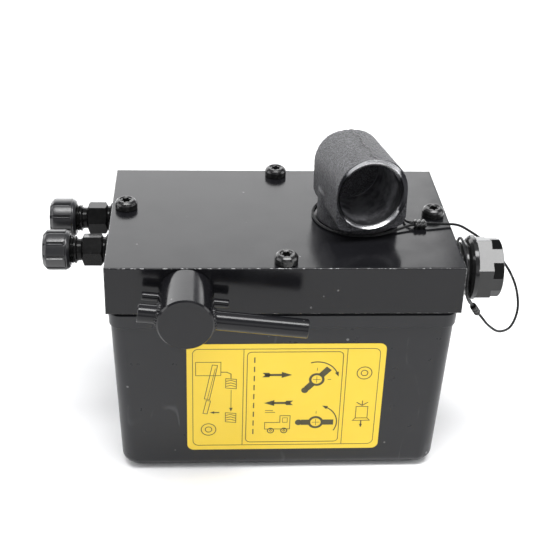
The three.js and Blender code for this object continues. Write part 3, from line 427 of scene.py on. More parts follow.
def wire():
    """Dark coated steel wire, a little bare where it rubs."""
    material, tree, shader = new_material("rope_wire")
    bare = between(tree, grain(tree, 0.9, 3.0, 0.6), 0.55, 0.75)
    colour = blend(tree, bare, (0.009, 0.009, 0.01), (0.075, 0.075, 0.075))
    tree.links.new(colour, shader.inputs["Base Color"])
    tree.links.new(between(tree, grain(tree, 0.6), 0.3, 0.7, 0.26, 0.4), shader.inputs["Roughness"])
    shader.inputs["Metallic"].default_value = 0.5
    bump(tree, shader, grain(tree, 0.3), 0.01)
    return material


# ---------- mesh helpers ----------
def upright(at):
    """A frame in millimetres that stands over a point, with its heights as the model's."""
    return along("z", (at.x, at.y, 0))


def along(axis, centre):
    """A frame in millimetres whose local Z runs along an axis, through a centre."""
    columns = {"x": ((0, 1, 0), (0, 0, 1), (1, 0, 0)), "y": ((0, 0, 1), (1, 0, 0), (0, 1, 0)),
               "z": ((1, 0, 0), (0, 1, 0), (0, 0, 1))}[axis]
    turn = Matrix(columns).transposed().to_4x4()
    return Matrix.Translation(centre) @ turn


def make_object(name, points, faces):
    """A mesh object from points in millimetres."""
    mesh = bpy.data.meshes.new(name)
    mesh.from_pydata([Vector(p) * MM for p in points], [], faces)
    obj = bpy.data.objects.new(name, mesh)
    bpy.context.scene.collection.objects.link(obj)
    return obj


def with_fillets(profile, closed=False, steps=4):
    """The points of a line whose corners are (a, b) or (a, b, fillet radius)."""
    count = len(profile)
    line = []
    for i, (a, b, *rest) in enumerate(profile):
        at_end = not closed and i in (0, count - 1)
        if at_end or not rest or not rest[0]:
            line.append((a, b))
            continue
        here = Vector((a, b))
        back = (Vector(profile[i - 1][:2]) - here).normalized()
        ahead = (Vector(profile[(i + 1) % count][:2]) - here).normalized()
        half = back.angle(ahead) / 2
        centre = here + (back + ahead).normalized() * rest[0] / math.sin(half)
        start = here + back * rest[0] / math.tan(half) - centre
        end = here + ahead * rest[0] / math.tan(half) - centre
        for k in range(steps + 1):
            share = k / steps
            spoke = (start * (1 - share) + end * share).normalized() * rest[0]
            line.append(tuple(centre + spoke))
    return line


def skin(name, rings, capped=True, cyclic=False):
    """Rings of points, each with as many points, joined into one skin."""
    size = len(rings[0])
    points = [p for ring in rings for p in ring]
    faces = []
    last = len(rings) if cyclic else len(rings) - 1
    for r in range(last):
        base, after = r * size, (r + 1) % len(rings) * size
        for i in range(size):
            j = (i + 1) % size
            faces.append((base + i, base + j, after + j, after + i))
    if capped and not cyclic:
        faces.append(tuple(range(size))[::-1])
        faces.append(tuple(range((len(rings) - 1) * size, len(rings) * size)))
    return make_object(name, points, faces)


def lathe(name, profile, place, segments, wobble=None):
    """A profile of (radius, height, fillet) turned about the frame's Z.

    wobble(angle, radius, height) gives the radius in each direction."""
    rings, poles = [], {}
    line = with_fillets(profile)
    for k, (radius, height) in enumerate(line):
        if radius < 1e-6:
            poles[k] = place @ Vector((0, 0, height))
            continue
        ring = []
        for i in range(segments):
            angle = 2 * math.pi * i / segments
            reach = wobble(angle, radius, height) if wobble else radius
            ring.append(place @ Vector((reach * math.cos(angle), reach * math.sin(angle), height)))
        rings.append(ring)
    return skin(name, rings, capped=bool(poles), cyclic=not poles)


def rod(name, radius, low, high, place, segments):
    """A plain round bar along the frame's Z, for cutting a hole."""
    return lathe(name, [(0, low), (radius, low), (radius, high), (0, high)], place, segments)


def prism(name, outline, low, high, place):
    """A flat outline pushed along the frame's Z."""
    rings = [[place @ Vector((a, b, height)) for a, b in outline] for height in (low, high)]
    return skin(name, rings)


def hexagon(flats, spin, fillet=0.35):
    corner = flats / 2 / math.cos(math.pi / 6)
    angles = [math.radians(spin + 60 * i) for i in range(6)]
    outline = [(corner * math.cos(a), corner * math.sin(a), fillet) for a in angles]
    return with_fillets(outline, closed=True, steps=3)


def rounded_rectangle(half_width, half_depth, radius, steps=10):
    corners = [(half_width, half_depth, radius), (-half_width, half_depth, radius),
               (-half_width, -half_depth, radius), (half_width, -half_depth, radius)]
    return with_fillets(corners, closed=True, steps=steps)


def baked_mesh(obj):
    """Turns an object's modifiers into its mesh."""
    bpy.context.view_layer.update()
    shown = obj.evaluated_get(bpy.context.evaluated_depsgraph_get())
    mesh = bpy.data.meshes.new_from_object(shown)
    obj.modifiers.clear()
    obj.data = mesh


def boolean(obj, operation, *tools):
    for tool in tools:
        modifier = obj.modifiers.new("boolean", "BOOLEAN")
        modifier.operation = operation
        modifier.object = tool
        modifier.solver = "EXACT"
    baked_mesh(obj)
    for tool in tools:
        bpy.data.objects.remove(tool)
    return obj


def finish_mesh(obj, sharp_degrees, weighted):
    """Merges doubles, turns faces outwards and shades smooth up to the sharp edges."""
    bm = bmesh.new()
    bm.from_mesh(obj.data)
    bmesh.ops.remove_doubles(bm, verts=bm.verts, dist=0.001 * MM)
    bmesh.ops.recalc_face_normals(bm, faces=bm.faces)
    limit = math.radians(sharp_degrees)
    for face in bm.faces:
        face.smooth = True
    for edge in bm.edges:
        edge.smooth = len(edge.link_faces) == 2 and edge.calc_face_angle() < limit
    bm.to_mesh(obj.data)
    bm.free()
    if weighted:
        modifier = obj.modifiers.new("flat faces stay flat", "WEIGHTED_NORMAL")
        modifier.keep_sharp = True


def piece(obj, body, material, nodes=(), sharp_degrees=32.0, weighted=True):
    """Finishes a piece, hangs it on its body, hides the CAD nodes that it stands for and gives it its
    finish.
    """
    finish_mesh(obj, sharp_degrees, weighted)
    obj.data.materials.clear()
    obj.data.materials.append(material)
    if nodes:
        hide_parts(*nodes)
    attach(obj, body)
    return obj


def joined(name, objects):
    """Several objects as one, without cutting them."""
    bm = bmesh.new()
    for obj in objects:
        bm.from_mesh(obj.data)
        bpy.data.objects.remove(obj)
    mesh = bpy.data.meshes.new(name)
    bm.to_mesh(mesh)
    bm.free()
    made = bpy.data.objects.new(name, mesh)
    bpy.context.scene.collection.objects.link(made)
    return made


def smooth_line(points, spacing):
    """A centripetal Catmull-Rom line through the points, resampled at even spacing."""
    points = [Vector(p) for p in points]
    first = points[0] * 2 - points[1]
    last = points[-1] * 2 - points[-2]
    knots = [first, *points, last]
    fine = []
    for i in range(1, len(knots) - 2):
        p = knots[i - 1:i + 3]
        gaps = [max((p[k + 1] - p[k]).length, 1e-6) ** 0.5 for k in range(3)]
        out = (p[1] - p[0]) / gaps[0] - (p[2] - p[0]) / (gaps[0] + gaps[1]) + (p[2] - p[1]) / gaps[1]
        arrive = (p[2] - p[1]) / gaps[1] - (p[3] - p[1]) / (gaps[1] + gaps[2]) + (p[3] - p[2]) / gaps[2]
        out, arrive = out * gaps[1], arrive * gaps[1]
        for k in range(24):
            t = k / 24
            fine.append(p[1] * (2 * t**3 - 3 * t**2 + 1) + out * (t**3 - 2 * t**2 + t)
                        + p[2] * (3 * t**2 - 2 * t**3) + arrive * (t**3 - t**2))
    fine.append(points[-1])
    return evenly(fine, spacing)


def evenly(line, spacing):
    reach = [0.0]
    for a, b in zip(line, line[1:]):
        reach.append(reach[-1] + (b - a).length)
    count = max(2, round(reach[-1] / spacing))
    made, k = [], 0
    for i in range(count + 1):
        at = reach[-1] * i / count
        while k < len(line) - 2 and reach[k + 1] < at:
            k += 1
        share = (at - reach[k]) / max(reach[k + 1] - reach[k], 1e-9)
        made.append(line[k].lerp(line[k + 1], min(max(share, 0.0), 1.0)))
    return made


def line_length(line):
    return sum((b - a).length for a, b in zip(line, line[1:]))


def carried_frames(line):
    """At each point of a line, two directions across it that don't twist."""
    frames = []
    side = None
    for i, here in enumerate(line):
        tangent = (line[min(i + 1, len(line) - 1)] - line[max(i - 1, 0)]).normalized()
        if side is None:
            side = tangent.orthogonal().normalized()
        side = (side - tangent * side.dot(tangent)).normalized()
        frames.append((here, side, tangent.cross(side)))
    return frames


def tube(name, line, radius, sides):
    """A round tube with closed ends along a line."""
    rings = []
    for here, side, up in carried_frames(line):
        rings.append([here + side * radius * math.cos(2 * math.pi * k / sides)
                      + up * radius * math.sin(2 * math.pi * k / sides) for k in range(sides)])
    return skin(name, rings)


# ---------- lanyard ----------
ROPE_DIAMETER = 1.6
NECK_LOOP = {"radius": 26.8, "start": -77, "end": -342, "steps": 10}


def loop_round_neck():
    turn = (NECK_LOOP["end"] - NECK_LOOP["start"]) / NECK_LOOP["steps"]
    for i in range(NECK_LOOP["steps"] + 1):
        a = math.radians(NECK_LOOP["start"] + turn * i)
        yield (SWING.x + NECK_LOOP["radius"] * math.cos(a),
               SWING.y + NECK_LOOP["radius"] * math.sin(a), TOP + 1)


LANYARD_ROUTE = [
    (81, -15.5, TOP + 2.4), (76, -15.6, TOP + 2.2), (70, -18.4, TOP + 1.6), (62.5, -22, TOP + 1.1),
    *loop_round_neck(),
    (72.7, -2, TOP + 1.2), (73, -7.6, TOP + 1.6), (74.8, -11.8, TOP + 2.1), (78.4, -13.5, TOP + 2.4),
    (86, -13.7, TOP + 2.4), (96, -13.2, TOP + 1.6), (104, -12.6, TOP + 0.6), (112, -11.8, TOP - 4),
    (120.5, -11, TOP - 10.5), (130, -10.8, TOP - 19.5), (139.2, -12, TOP - 31), (145, -14.5, TOP - 44),
    (145.8, -19, TOP - 55.6), (141, -25, TOP - 63), (133.4, -30, TOP - 63), (125.4, -34, TOP - 56.6),
    (119, -36.4, TOP - 48.4), (112.2, -38.4, TOP - 39), (108.4, -44.6, TOP - 33),
    (104.8, -50.6, TOP - 24.6), (103.2, -52.8, TOP - 13.4), (102.6, -48.4, TOP - 3.2),
    (102.3, -38.6, TOP + 2.4), (102.6, -27.2, TOP), (103.2, -19.6, TOP - 8.4), (104, -18.8, TOP - 19),
    (106.4, -24.4, TOP - 29), (110.2, -33, TOP - 36.4), (113.2, -36.6, TOP - 41),
    (115.6, -35.4, TOP - 44.6),
]
STRANDS = 6
STRAND_LAY = 9.0  # length of one turn of a strand


def make_rope(line):
    """Six wire strands laid round a core along the lanyard's centre line."""
    strand_radius = ROPE_DIAMETER / 6 * 1.06
    ring = ROPE_DIAMETER / 2 - strand_radius
    frames = carried_frames(line)
    step = line_length(line) / (len(line) - 1)
    strands = [tube("rope_core", line, ROPE_DIAMETER / 2 - strand_radius, 6)]
    for s in range(STRANDS):
        path = []
        for i, (here, side, up) in enumerate(frames):
            a = 2 * math.pi * (s / STRANDS + i * step / STRAND_LAY)
            path.append(here + side * ring * math.cos(a) + up * ring * math.sin(a))
        strands.append(tube("rope_strand", path, strand_radius, 6))
    return joined("lanyard_rope", strands)


FERRULE = {"wall": 0.75, "crimps": 3}
FERRULES = {  # start, end, half its width and half its height
    "lanyard_ferrule_socket": ((77.4, -14.5, TOP + 2.4), (84.6, -14.5, TOP + 2.4), 3.3, 2.0),
    "lanyard_ferrule_plug": ((112.7, -37.4, TOP - 39.8), (116.5, -36, TOP - 45.7), 2.6, 1.9),
}


def make_ferrule(name, start, end, half_width, half_height, material):
    """A sleeve pressed on two strands, with pinched bands along it."""
    a, b = Vector(start), Vector(end)
    run = b - a
    side = Vector((0, 1, 0))
    side = (side - run * side.dot(run) / run.length_squared).normalized()
    up = run.normalized().cross(side)
    steps = 36

    def ring(share, inset):
        pinch = 0.5 - 0.5 * math.cos(2 * math.pi * FERRULE["crimps"] * share)
        swell = 1 + 0.1 * pinch - inset
        points = []
        for i in range(28):
            t = 2 * math.pi * i / 28
            width = half_width * swell
            height = half_height * (swell - 0.16 * (1 - pinch))
            flat = math.copysign(abs(math.cos(t)) ** 0.8, math.cos(t))
            points.append(a + run * share + side * width * flat + up * height * math.sin(t))
        return points

    outside = [ring(0, 0.1), *[ring(0.03 + 0.94 * i / steps, 0) for i in range(steps + 1)], ring(1, 0.1)]
    inside = [ring(1, FERRULE["wall"] / 2.6), ring(0, FERRULE["wall"] / 2.6)]
    obj = skin(name + "_sleeve", outside + inside, cyclic=True)
    return piece(obj, "unit", material, [name])


def make_lanyard():
    oxide = black_oxide("ferrule_oxide", 1.3)
    line = smooth_line(LANYARD_ROUTE, 0.5)
    rope = make_rope(line)
    piece(rope, "unit", wire(), ["lanyard"], sharp_degrees=80, weighted=False)
    sleeves = [make_ferrule(name, *ends, oxide) for name, ends in FERRULES.items()]


make_camera()
make_lights()
make_floor()
make_lanyard()


# ---------- tank ----------
TANK = {"corner": 8.0, "foot": 8.0, "rim_height": 8.4, "rim_proud": 0.8, "wall": 3.5}
TANK_BOTTOM_HALF = Vector((94.6, 59.0))
TANK_TOP_HALF = Vector((98.4, 61.4))


def tank_ring(z, inset, corner):
    """The tank's outline at a height, drawn in by an inset."""
    half = TANK_BOTTOM_HALF.lerp(TANK_TOP_HALF, z / TANK_HIGH.z)
    outline = rounded_rectangle(half.x - inset, half.y - inset, corner, 12)
    return [Vector((x, y, z)) for x, y in outline]


BOSS = {"radius": 8.5, "depth": 34, "hole": 5.8, "hole_depth": 28}  # the screws' bosses in the tank


def inside_of_tank():
    """The room inside the tank's outer skin, which its bosses and insert holes stay within."""
    outline = rounded_rectangle(TANK_TOP_HALF.x - 1.6, TANK_TOP_HALF.y - 1.6, 6)
    return prism("inside", outline, 0, TANK_HIGH.z + 2, Matrix.Identity(4))


def make_tank(material):
    foot, wall = TANK["foot"], TANK["wall"]
    rings = []
    for i in range(13):
        a = math.pi / 2 * i / 12
        inset = foot * (1 - math.sin(a))
        rings.append(tank_ring(foot * (1 - math.cos(a)), inset, TANK["corner"] + 2 - inset / 4))
    rim = TANK_HIGH.z - TANK["rim_height"]
    rim_line = [(rim - 0.5, 0.0), (rim - 0.12, -0.08), (rim, -0.3), (rim + 0.05, -TANK["rim_proud"] + 0.25),
                (rim + 0.35, -TANK["rim_proud"]), (TANK_HIGH.z - 0.5, -TANK["rim_proud"]),
                (TANK_HIGH.z - 0.12, -TANK["rim_proud"] + 0.12), (TANK_HIGH.z, -TANK["rim_proud"] + 0.5)]
    for z, inset in rim_line:
        rings.append(tank_ring(z, inset, TANK["corner"]))
    for z, inset in ((TANK_HIGH.z, wall), (foot + wall, wall), (wall, foot)):
        rings.append(tank_ring(z, inset, TANK["corner"] - 3))
    tank = skin("reservoir_moulding", rings)
    bosses, holes = [], []
    for place in ("left", "right", "front", "back"):
        over = upright(middle(f"screw_insert_{place}"))
        boss = rod("boss", BOSS["radius"], TANK_HIGH.z - BOSS["depth"], TANK_HIGH.z - 0.05, over, 40)
        hole = rod("hole", BOSS["hole"], TANK_HIGH.z - BOSS["hole_depth"], TANK_HIGH.z + 1, over, 40)
        bosses.append(boolean(boss, "INTERSECT", inside_of_tank()))
        holes.append(boolean(hole, "INTERSECT", inside_of_tank()))
    boolean(tank, "UNION", *bosses)
    boolean(tank, "DIFFERENCE", *holes)
    piece(tank, "unit", material, ["reservoir"])


# ---------- label ----------
LABEL_LOW, LABEL_HIGH = extent("instruction_label")
LABEL = {"corner": 4.0, "thickness": 0.22, "print": 0.05}
BORDER_INSET = 3.4
DIVIDERS = (0.285, 0.805)  # shares of the label's width
INK_LINE = 0.42


def on_wall(x, z, off):
    """A point over the tank's sloping front wall."""
    half = TANK_BOTTOM_HALF.lerp(TANK_TOP_HALF, z / TANK_HIGH.z)
    return Vector((x, -half.y - off, z))


def label_point(u, v):
    """From shares of the label's width and height to x and z."""
    return (LABEL_LOW.x + u * (LABEL_HIGH.x - LABEL_LOW.x), LABEL_LOW.z + v * (LABEL_HIGH.z - LABEL_LOW.z))


def make_label_film(material):
    low, high = LABEL_LOW, LABEL_HIGH
    centre = ((low.x + high.x) / 2, (low.z + high.z) / 2)
    rings = []
    for off, inset in ((0.04, 0.0), (LABEL["thickness"] - 0.05, 0.0), (LABEL["thickness"], 0.06)):
        half = ((high.x - low.x) / 2 - inset, (high.z - low.z) / 2 - inset)
        outline = rounded_rectangle(half[0], half[1], LABEL["corner"])
        rings.append([on_wall(centre[0] + a, centre[1] + b, off) for a, b in outline])
    film = skin("instruction_film", rings)
    piece(film, "unit", material, ["instruction_label"])


class Ink:
    """Flat shapes printed on the label, gathered into one mesh."""

    def __init__(self):
        self.points, self.faces = [], []

    def area(self, outline):
        """A filled outline that a fan from its middle covers."""
        start = len(self.points)
        for layer in (LABEL["thickness"] + 0.005, LABEL["thickness"] + LABEL["print"]):
            self.points += [on_wall(x, z, layer) for x, z in outline]
        count = len(outline)
        self.faces.append(tuple(start + i for i in range(count)))
        self.faces.append(tuple(start + count + i for i in reversed(range(count))))
        for i in range(count):
            j = (i + 1) % count
            self.faces.append((start + i, start + j, start + count + j, start + count + i))

    def stroke(self, line, width=INK_LINE, closed=False):
        """A line of even width with mitred corners."""
        line = [Vector(p) for p in line]
        count = len(line)
        left, right = [], []
        for i, here in enumerate(line):
            before = line[i - 1] if closed or i > 0 else here * 2 - line[1]
            after = line[(i + 1) % count] if closed or i < count - 1 else here * 2 - line[i - 1]
            a, b = (here - before).normalized(), (after - here).normalized()
            bend = (a + b).normalized()
            across = Vector((-bend.y, bend.x)) / max(0.35, bend.dot(a))
            left.append(here + across * width / 2)
            right.append(here - across * width / 2)
        last = count if closed else count - 1
        for i in range(last):
            j = (i + 1) % count
            self.area([left[i], left[j], right[j], right[i]])

    def ring(self, centre, outer, inner, steps=28):
        line = arc_points(centre, (outer + inner) / 2, 0, 360 - 360 / steps, steps - 1)
        self.stroke(line, outer - inner, closed=True)

    def disc(self, centre, radius):
        self.area(arc_points(centre, radius, 0, 360 - 18, 19))

    def bar(self, start, end, width):
        """A solid bar with square ends."""
        self.stroke([start, end], width)

    def arrow_head(self, tip, direction, size):
        forward = Vector(direction).normalized()
        across = Vector((-forward.y, forward.x))
        tip = Vector(tip)
        back = tip - forward * size
        self.area([tip, back + across * size * 0.36, back - across * size * 0.36])


def arc_points(centre, radius, start, end, steps=14):
    return [(centre[0] + radius * math.cos(math.radians(start + (end - start) * i / steps)),
             centre[1] + radius * math.sin(math.radians(start + (end - start) * i / steps)))
            for i in range(steps + 1)]


def framed(low_u, low_v, high_u, high_v, corner):
    """A rounded frame between two corners given as shares of the label."""
    low, high = label_point(low_u, low_v), label_point(high_u, high_v)
    half = ((high[0] - low[0]) / 2, (high[1] - low[1]) / 2)
    outline = rounded_rectangle(half[0], half[1], corner, 6)
    return [(low[0] + half[0] + a, low[1] + half[1] + b) for a, b in outline]


def draw_valve_lever(ink, centre, angle, arc_start, arc_end):
    """A ring on a shaft with a bar through it, and an arrow that shows which way to turn it."""
    a = math.radians(angle)
    forward = Vector((math.cos(a), math.sin(a)))
    hub = Vector(centre)
    ink.ring(centre, 4.6, 3.1)
    ink.bar(hub + forward * 4.2, hub + forward * 10.6, 3.9)
    ink.bar(hub - forward * 4.2, hub - forward * 8.8, 3.9)
    ink.disc(hub - forward * 10.2, 2.1)
    for across in (Vector((1, 0)), Vector((0, 1))):
        ink.stroke([hub - across * 2.3, hub + across * 2.3], 0.3)
        ink.stroke([hub + across * 6.4, hub + across * 8.4], 0.3)
    line = [Vector(p) for p in arc_points(centre, 12.6, arc_start, arc_end)]
    ink.stroke(line, 0.7)
    last_step = line[-1] - line[-2]
    ink.arrow_head(line[-1] + last_step.normalized() * 2, last_step, 3.4)


def draw_straight_arrow(ink, tail, tip):
    tail, tip = Vector(tail), Vector(tip)
    forward = (tip - tail).normalized()
    across = Vector((-forward.y, forward.x))
    ink.bar(tail, tip - forward * 4.5, 1.5)
    ink.arrow_head(tip, forward, 6)
    for side in (-1, 1):
        swept = across * 1.6 * side
        feather = [tail, tail - forward * 1.6 + swept, tail + forward * 2.4 + swept, tail + forward * 3.4]
        ink.area(feather[::side])


def draw_cart(ink, x, z):
    """A plain box on two wheels."""
    ink.stroke([(x, z + 3), (x + 15, z + 3), (x + 15, z + 13), (x + 9, z + 13), (x + 9, z + 8), (x, z + 8)],
               closed=True)
    ink.stroke([(x + 10.6, z + 8), (x + 13.4, z + 8), (x + 13.4, z + 11.4), (x + 10.6, z + 11.4)],
               0.3, closed=True)
    for wheel in (3.6, 11.6):
        ink.ring((x + wheel, z + 1.8), 2.1, 1.5)
        ink.ring((x + wheel, z + 1.8), 0.8, 0.4, 12)
    ink.stroke([(x, z + 15.5), (x + 6, z + 15.5)], 0.35)
    ink.stroke([(x, z + 17), (x + 4.6, z + 17)], 0.35)


def draw_hand_pump(ink, x, z):
    """A pump box with its lever, a hose to a ram, and an arrow down to the ram's lowered place."""
    ink.stroke([(x, z), (x + 14.5, z), (x + 14.5, z + 9.5), (x, z + 9.5)], 0.35, closed=True)
    ink.stroke([(x + 9.6, z + 7.6), (x + 12.6, z + 7.2), (x + 8, z - 17.4), (x + 5, z - 16.8)],
               0.4, closed=True)
    ink.stroke([(x + 6.2, z - 18), (x + 8.6, z - 18.4), (x + 6.6, z - 28), (x + 4.2, z - 27.5)],
               0.4, closed=True)
    ink.stroke([(x + 11.3, z + 5), (x + 6.8, z - 17)], 0.3)
    ink.stroke([(x + 14.5, z + 2.4), (x + 18, z + 2.4), (x + 20.4, z + 1), (x + 20.4, z - 2.2)], 0.5)
    for foot in (z - 9, z - 34):
        left, right = x + 17.4, x + 23.6
        ink.stroke([(left, foot), (right, foot - 0.6), (right, foot + 6.2), (left, foot + 6.8)],
                   0.4, closed=True)
        for k in range(3):
            rise = foot + 1.2 + 1.8 * k
            ink.stroke([(x + 17.6, rise), (x + 20.4, rise + 0.7), (x + 23.4, rise - 0.4)], 0.4)
    ink.stroke([(x + 20.6, z - 10.4), (x + 20.6, z - 24)], 0.35)
    ink.arrow_head((x + 20.6, z - 26.4), (0, -1), 2.8)
    ink.stroke([(x + 13.8, z - 27), (x + 9.8, z - 27)], 0.7)
    ink.arrow_head((x + 8.2, z - 27), (-1, 0), 2.6)


def draw_filler(ink, x, z):
    """A filler plug seen from its side, with drops of oil over it."""
    ink.stroke([(x, z), (x + 7, z), (x + 7, z + 8.6), (x, z + 8.6)], closed=True)
    ink.stroke([(x - 1.6, z - 1.8), (x + 8.6, z - 1.8), (x + 7, z), (x, z)], closed=True)
    ink.stroke([(x + 3.5, z - 1.8), (x + 3.5, z - 5)], 0.7)
    ink.arrow_head((x + 3.5, z - 7.2), (0, -1), 2.6)
    for k, angle in enumerate((35, 90, 145)):
        a = math.radians(angle)
        hub = Vector((x + 3.5, z + 9.4))
        ink.stroke([hub, hub + Vector((math.cos(a), math.sin(a))) * (4.2 - 0.6 * (k == 1))], 0.5)


def make_label_print(material):
    ink = Ink()
    width = LABEL_HIGH.x - LABEL_LOW.x
    height = LABEL_HIGH.z - LABEL_LOW.z
    edge_u, edge_v = BORDER_INSET / width, BORDER_INSET / height
    ink.stroke(framed(edge_u, edge_v, 1 - edge_u, 1 - edge_v, 3.4), 0.38, closed=True)
    for share in DIVIDERS:
        ink.stroke([label_point(share, edge_v), label_point(share, 1 - edge_v)], 0.38)
    ink.stroke(framed(DIVIDERS[0] + 0.018, 0.072, DIVIDERS[1] - 0.02, 0.928, 2.6), 0.42, closed=True)
    draw_valve_lever(ink, label_point(0.657, 0.672), 49, 108, 18)
    draw_valve_lever(ink, label_point(0.664, 0.262), 0, -30, 66)
    draw_straight_arrow(ink, label_point(0.394, 0.717), label_point(0.53, 0.717))
    draw_straight_arrow(ink, label_point(0.528, 0.452), label_point(0.394, 0.452))
    draw_cart(ink, *label_point(0.4, 0.16))
    for k in range(9):
        ink.stroke([label_point(0.34, 0.15 + 0.085 * k), label_point(0.34, 0.2 + 0.085 * k)], 0.7)
    draw_hand_pump(ink, *label_point(0.045, 0.715))
    ink.ring(label_point(0.11, 0.2), 4.6, 4.1)
    ink.ring(label_point(0.11, 0.2), 2.2, 1.7)
    draw_filler(ink, *label_point(0.87, 0.3))
    ink.ring(label_point(0.898, 0.73), 4.6, 4.1)
    ink.ring(label_point(0.898, 0.73), 2.2, 1.7)
    art = make_object("instruction_print", ink.points, ink.faces)
    piece(art, "unit", material, weighted=False)


# ---------- block ----------
BLOCK_EDGE = 0.55
BLOCK_SIDE_POINTS = (114, 182)


def block_outline(inset):
    """The block's outline with points close together along its sides."""
    half_x, half_y = RIGHT_FACE - inset, -FRONT - inset
    corners = [Vector((half_x, -half_y)), Vector((half_x, half_y)), Vector((-half_x, half_y)),
               Vector((-half_x, -half_y))]
    outline = []
    for i, a in enumerate(corners):
        b = corners[(i + 1) % 4]
        count = BLOCK_SIDE_POINTS[i % 2]
        outline += [a.lerp(b, k / count) for k in range(count)]
    return outline


def chipped(point, amount):
    """How far a chip takes the paint and the steel back at a place on an edge."""
    coarse = noise.noise(Vector(point) * 0.21)
    fine = noise.noise(Vector(point) * 0.9 + Vector((7, 3, 1)))
    return amount * max(0.0, 0.5 * coarse + 0.5 * fine + 0.08)


def make_block(material):
    rings = []
    count = len(block_outline(0))
    line = [(BLOCK_LOW.z, BLOCK_EDGE), (BLOCK_LOW.z + BLOCK_EDGE * 0.3, BLOCK_EDGE * 0.3),
            (BLOCK_LOW.z + BLOCK_EDGE, 0.0), (TOP - BLOCK_EDGE * 1.6, 0.0), (TOP - BLOCK_EDGE * 0.9, 0.0),
            (TOP - BLOCK_EDGE * 0.28, BLOCK_EDGE * 0.28), (TOP, BLOCK_EDGE * 0.9), (TOP, BLOCK_EDGE * 1.8)]
    for k, (z, inset) in enumerate(line):
        base = block_outline(inset)
        centre_ring = []
        for i in range(count):
            p = Vector((base[i].x, base[i].y, z))
            if k in (1, 5):
                inwards = Vector((-math.copysign(1, p.x) * (abs(p.x) > RIGHT_FACE - 2), 0, 0))
                inwards.y = -math.copysign(1, p.y) * (abs(p.y) > -FRONT - 2)
                inwards.z = -1 if k == 5 else 1
                p += inwards * chipped(p, 0.22)
            centre_ring.append(p)
        rings.append(centre_ring)
    block = skin("pump_block_body", rings)
    filler_y = middle("filler_seal").y
    below, above = BLOCK_LOW.z - 1, TOP + 1
    filler_line = [(0, 74), (13.5, 74), (13.5, RIGHT_FACE - 0.9), (14.4, RIGHT_FACE),
                   (14.4, RIGHT_FACE + 2), (0, RIGHT_FACE + 2)]
    tools = [
        lathe("filler_bore", filler_line, along("x", (0, filler_y, PORT_LEVEL)), 72),
        rod("filler_drop", 9, below, PORT_LEVEL, along("z", (83, filler_y, 0)), 48),
        rod("shaft_bore", 14.3, below, above, upright(SWING), 64),
        rod("spool_bore", 8, FRONT - 1, FRONT + 84, along("y", (SPOOL.x, 0, SPOOL.z)), 48),
    ]
    for side in ("front", "back"):
        inwards = along("x", (0, middle(f"port_fitting_{side}").y, PORT_LEVEL))
        tools.append(rod("port", 6.7, LEFT_FACE - 1, LEFT_FACE + 13, inwards, 40))
    for place in ("left", "right", "front", "back"):
        tools.append(rod("screw_hole", 4.3, below, above, upright(middle(f"cover_screw_{place}")), 32))
    boolean(block, "DIFFERENCE", *tools)
    piece(block, "unit", material, ["pump_block"], sharp_degrees=50)


# ---------- screws ----------
SCREW = {"head": 6.6, "shank": 4.0, "recess": 3.1, "recess_depth": 3.3}


def lobes(radius, lobe_share):
    """The outline of a six-lobe recess."""
    outline = []
    samples = 72
    for i in range(samples):
        a = 2 * math.pi * i / samples
        reach = radius * (1 - lobe_share + lobe_share * math.cos(6 * a))
        outline.append((reach * math.cos(a), reach * math.sin(a)))
    return outline


def make_screw(place, spin, material):
    node_name = f"cover_screw_{place}"
    low, high = extent(node_name)
    over = upright((low + high) / 2)
    head, shank = SCREW["head"], SCREW["shank"]
    profile = [(0, low.z), (shank - 0.6, low.z), (shank, low.z + 1, 0.2), (shank, TOP, 0.1),
               (head - 0.35, TOP + 0.01, 0.2), (head, TOP + 0.5, 0.3), (head, high.z - 2.1, 0.6),
               (head - 0.7, high.z - 0.85, 0.7), (head - 1.9, high.z, 0.45), (3.9, high.z, 0.15),
               (3.3, high.z - 0.45, 0.1), (0, high.z - 0.45)]
    screw = lathe(node_name + "_turned", profile, over, 72)
    turn = over @ Matrix.Rotation(math.radians(spin), 4, "Z")
    recess = prism("recess", lobes(SCREW["recess"], 0.15), high.z - SCREW["recess_depth"], high.z + 1, turn)
    boolean(screw, "DIFFERENCE", recess)
    piece(screw, "unit", material, [node_name], sharp_degrees=40)


# ---------- hose fittings ----------
FITTING = {"flats": 17.0, "thread": 8.0, "pitch": 1.5, "depth": 0.55}
CAP = {"ribs": 9, "groove": 1.15, "groove_half_angle": 4.6}


def threaded(pitch, depth, start, end):
    """A wobble for lathe: a screw thread between two heights."""
    def reach(angle, radius, height):
        if not start < height < end:
            return radius
        fade = min(1.0, (height - start) / pitch, (end - height) / pitch)
        phase = (height / pitch - angle / (2 * math.pi)) % 1.0
        return radius - depth * fade * abs(2 * phase - 1)
    return reach


def thread_line(radius, start, end, pitch):
    """Points along a thread, close enough together to show its flanks."""
    count = round((end - start) / pitch * 8)
    return [(radius, start + (end - start) * i / count) for i in range(count + 1)]


def make_nut(name, flats, low, high, chamfer, spin, place):
    """A hexagon whose ends are turned to a chamfer."""
    corner = flats / 2 / math.cos(math.pi / 6)
    nut = prism(name, hexagon(flats, spin), low, high, place)
    rim = corner - chamfer * 1.9
    trim_line = [(0, low), (rim, low, 0.15), (corner + 0.1, low + chamfer),
                 (corner + 0.1, high - chamfer), (rim, high, 0.15), (0, high)]
    return boolean(nut, "INTERSECT", lathe("trim", trim_line, place, 96))


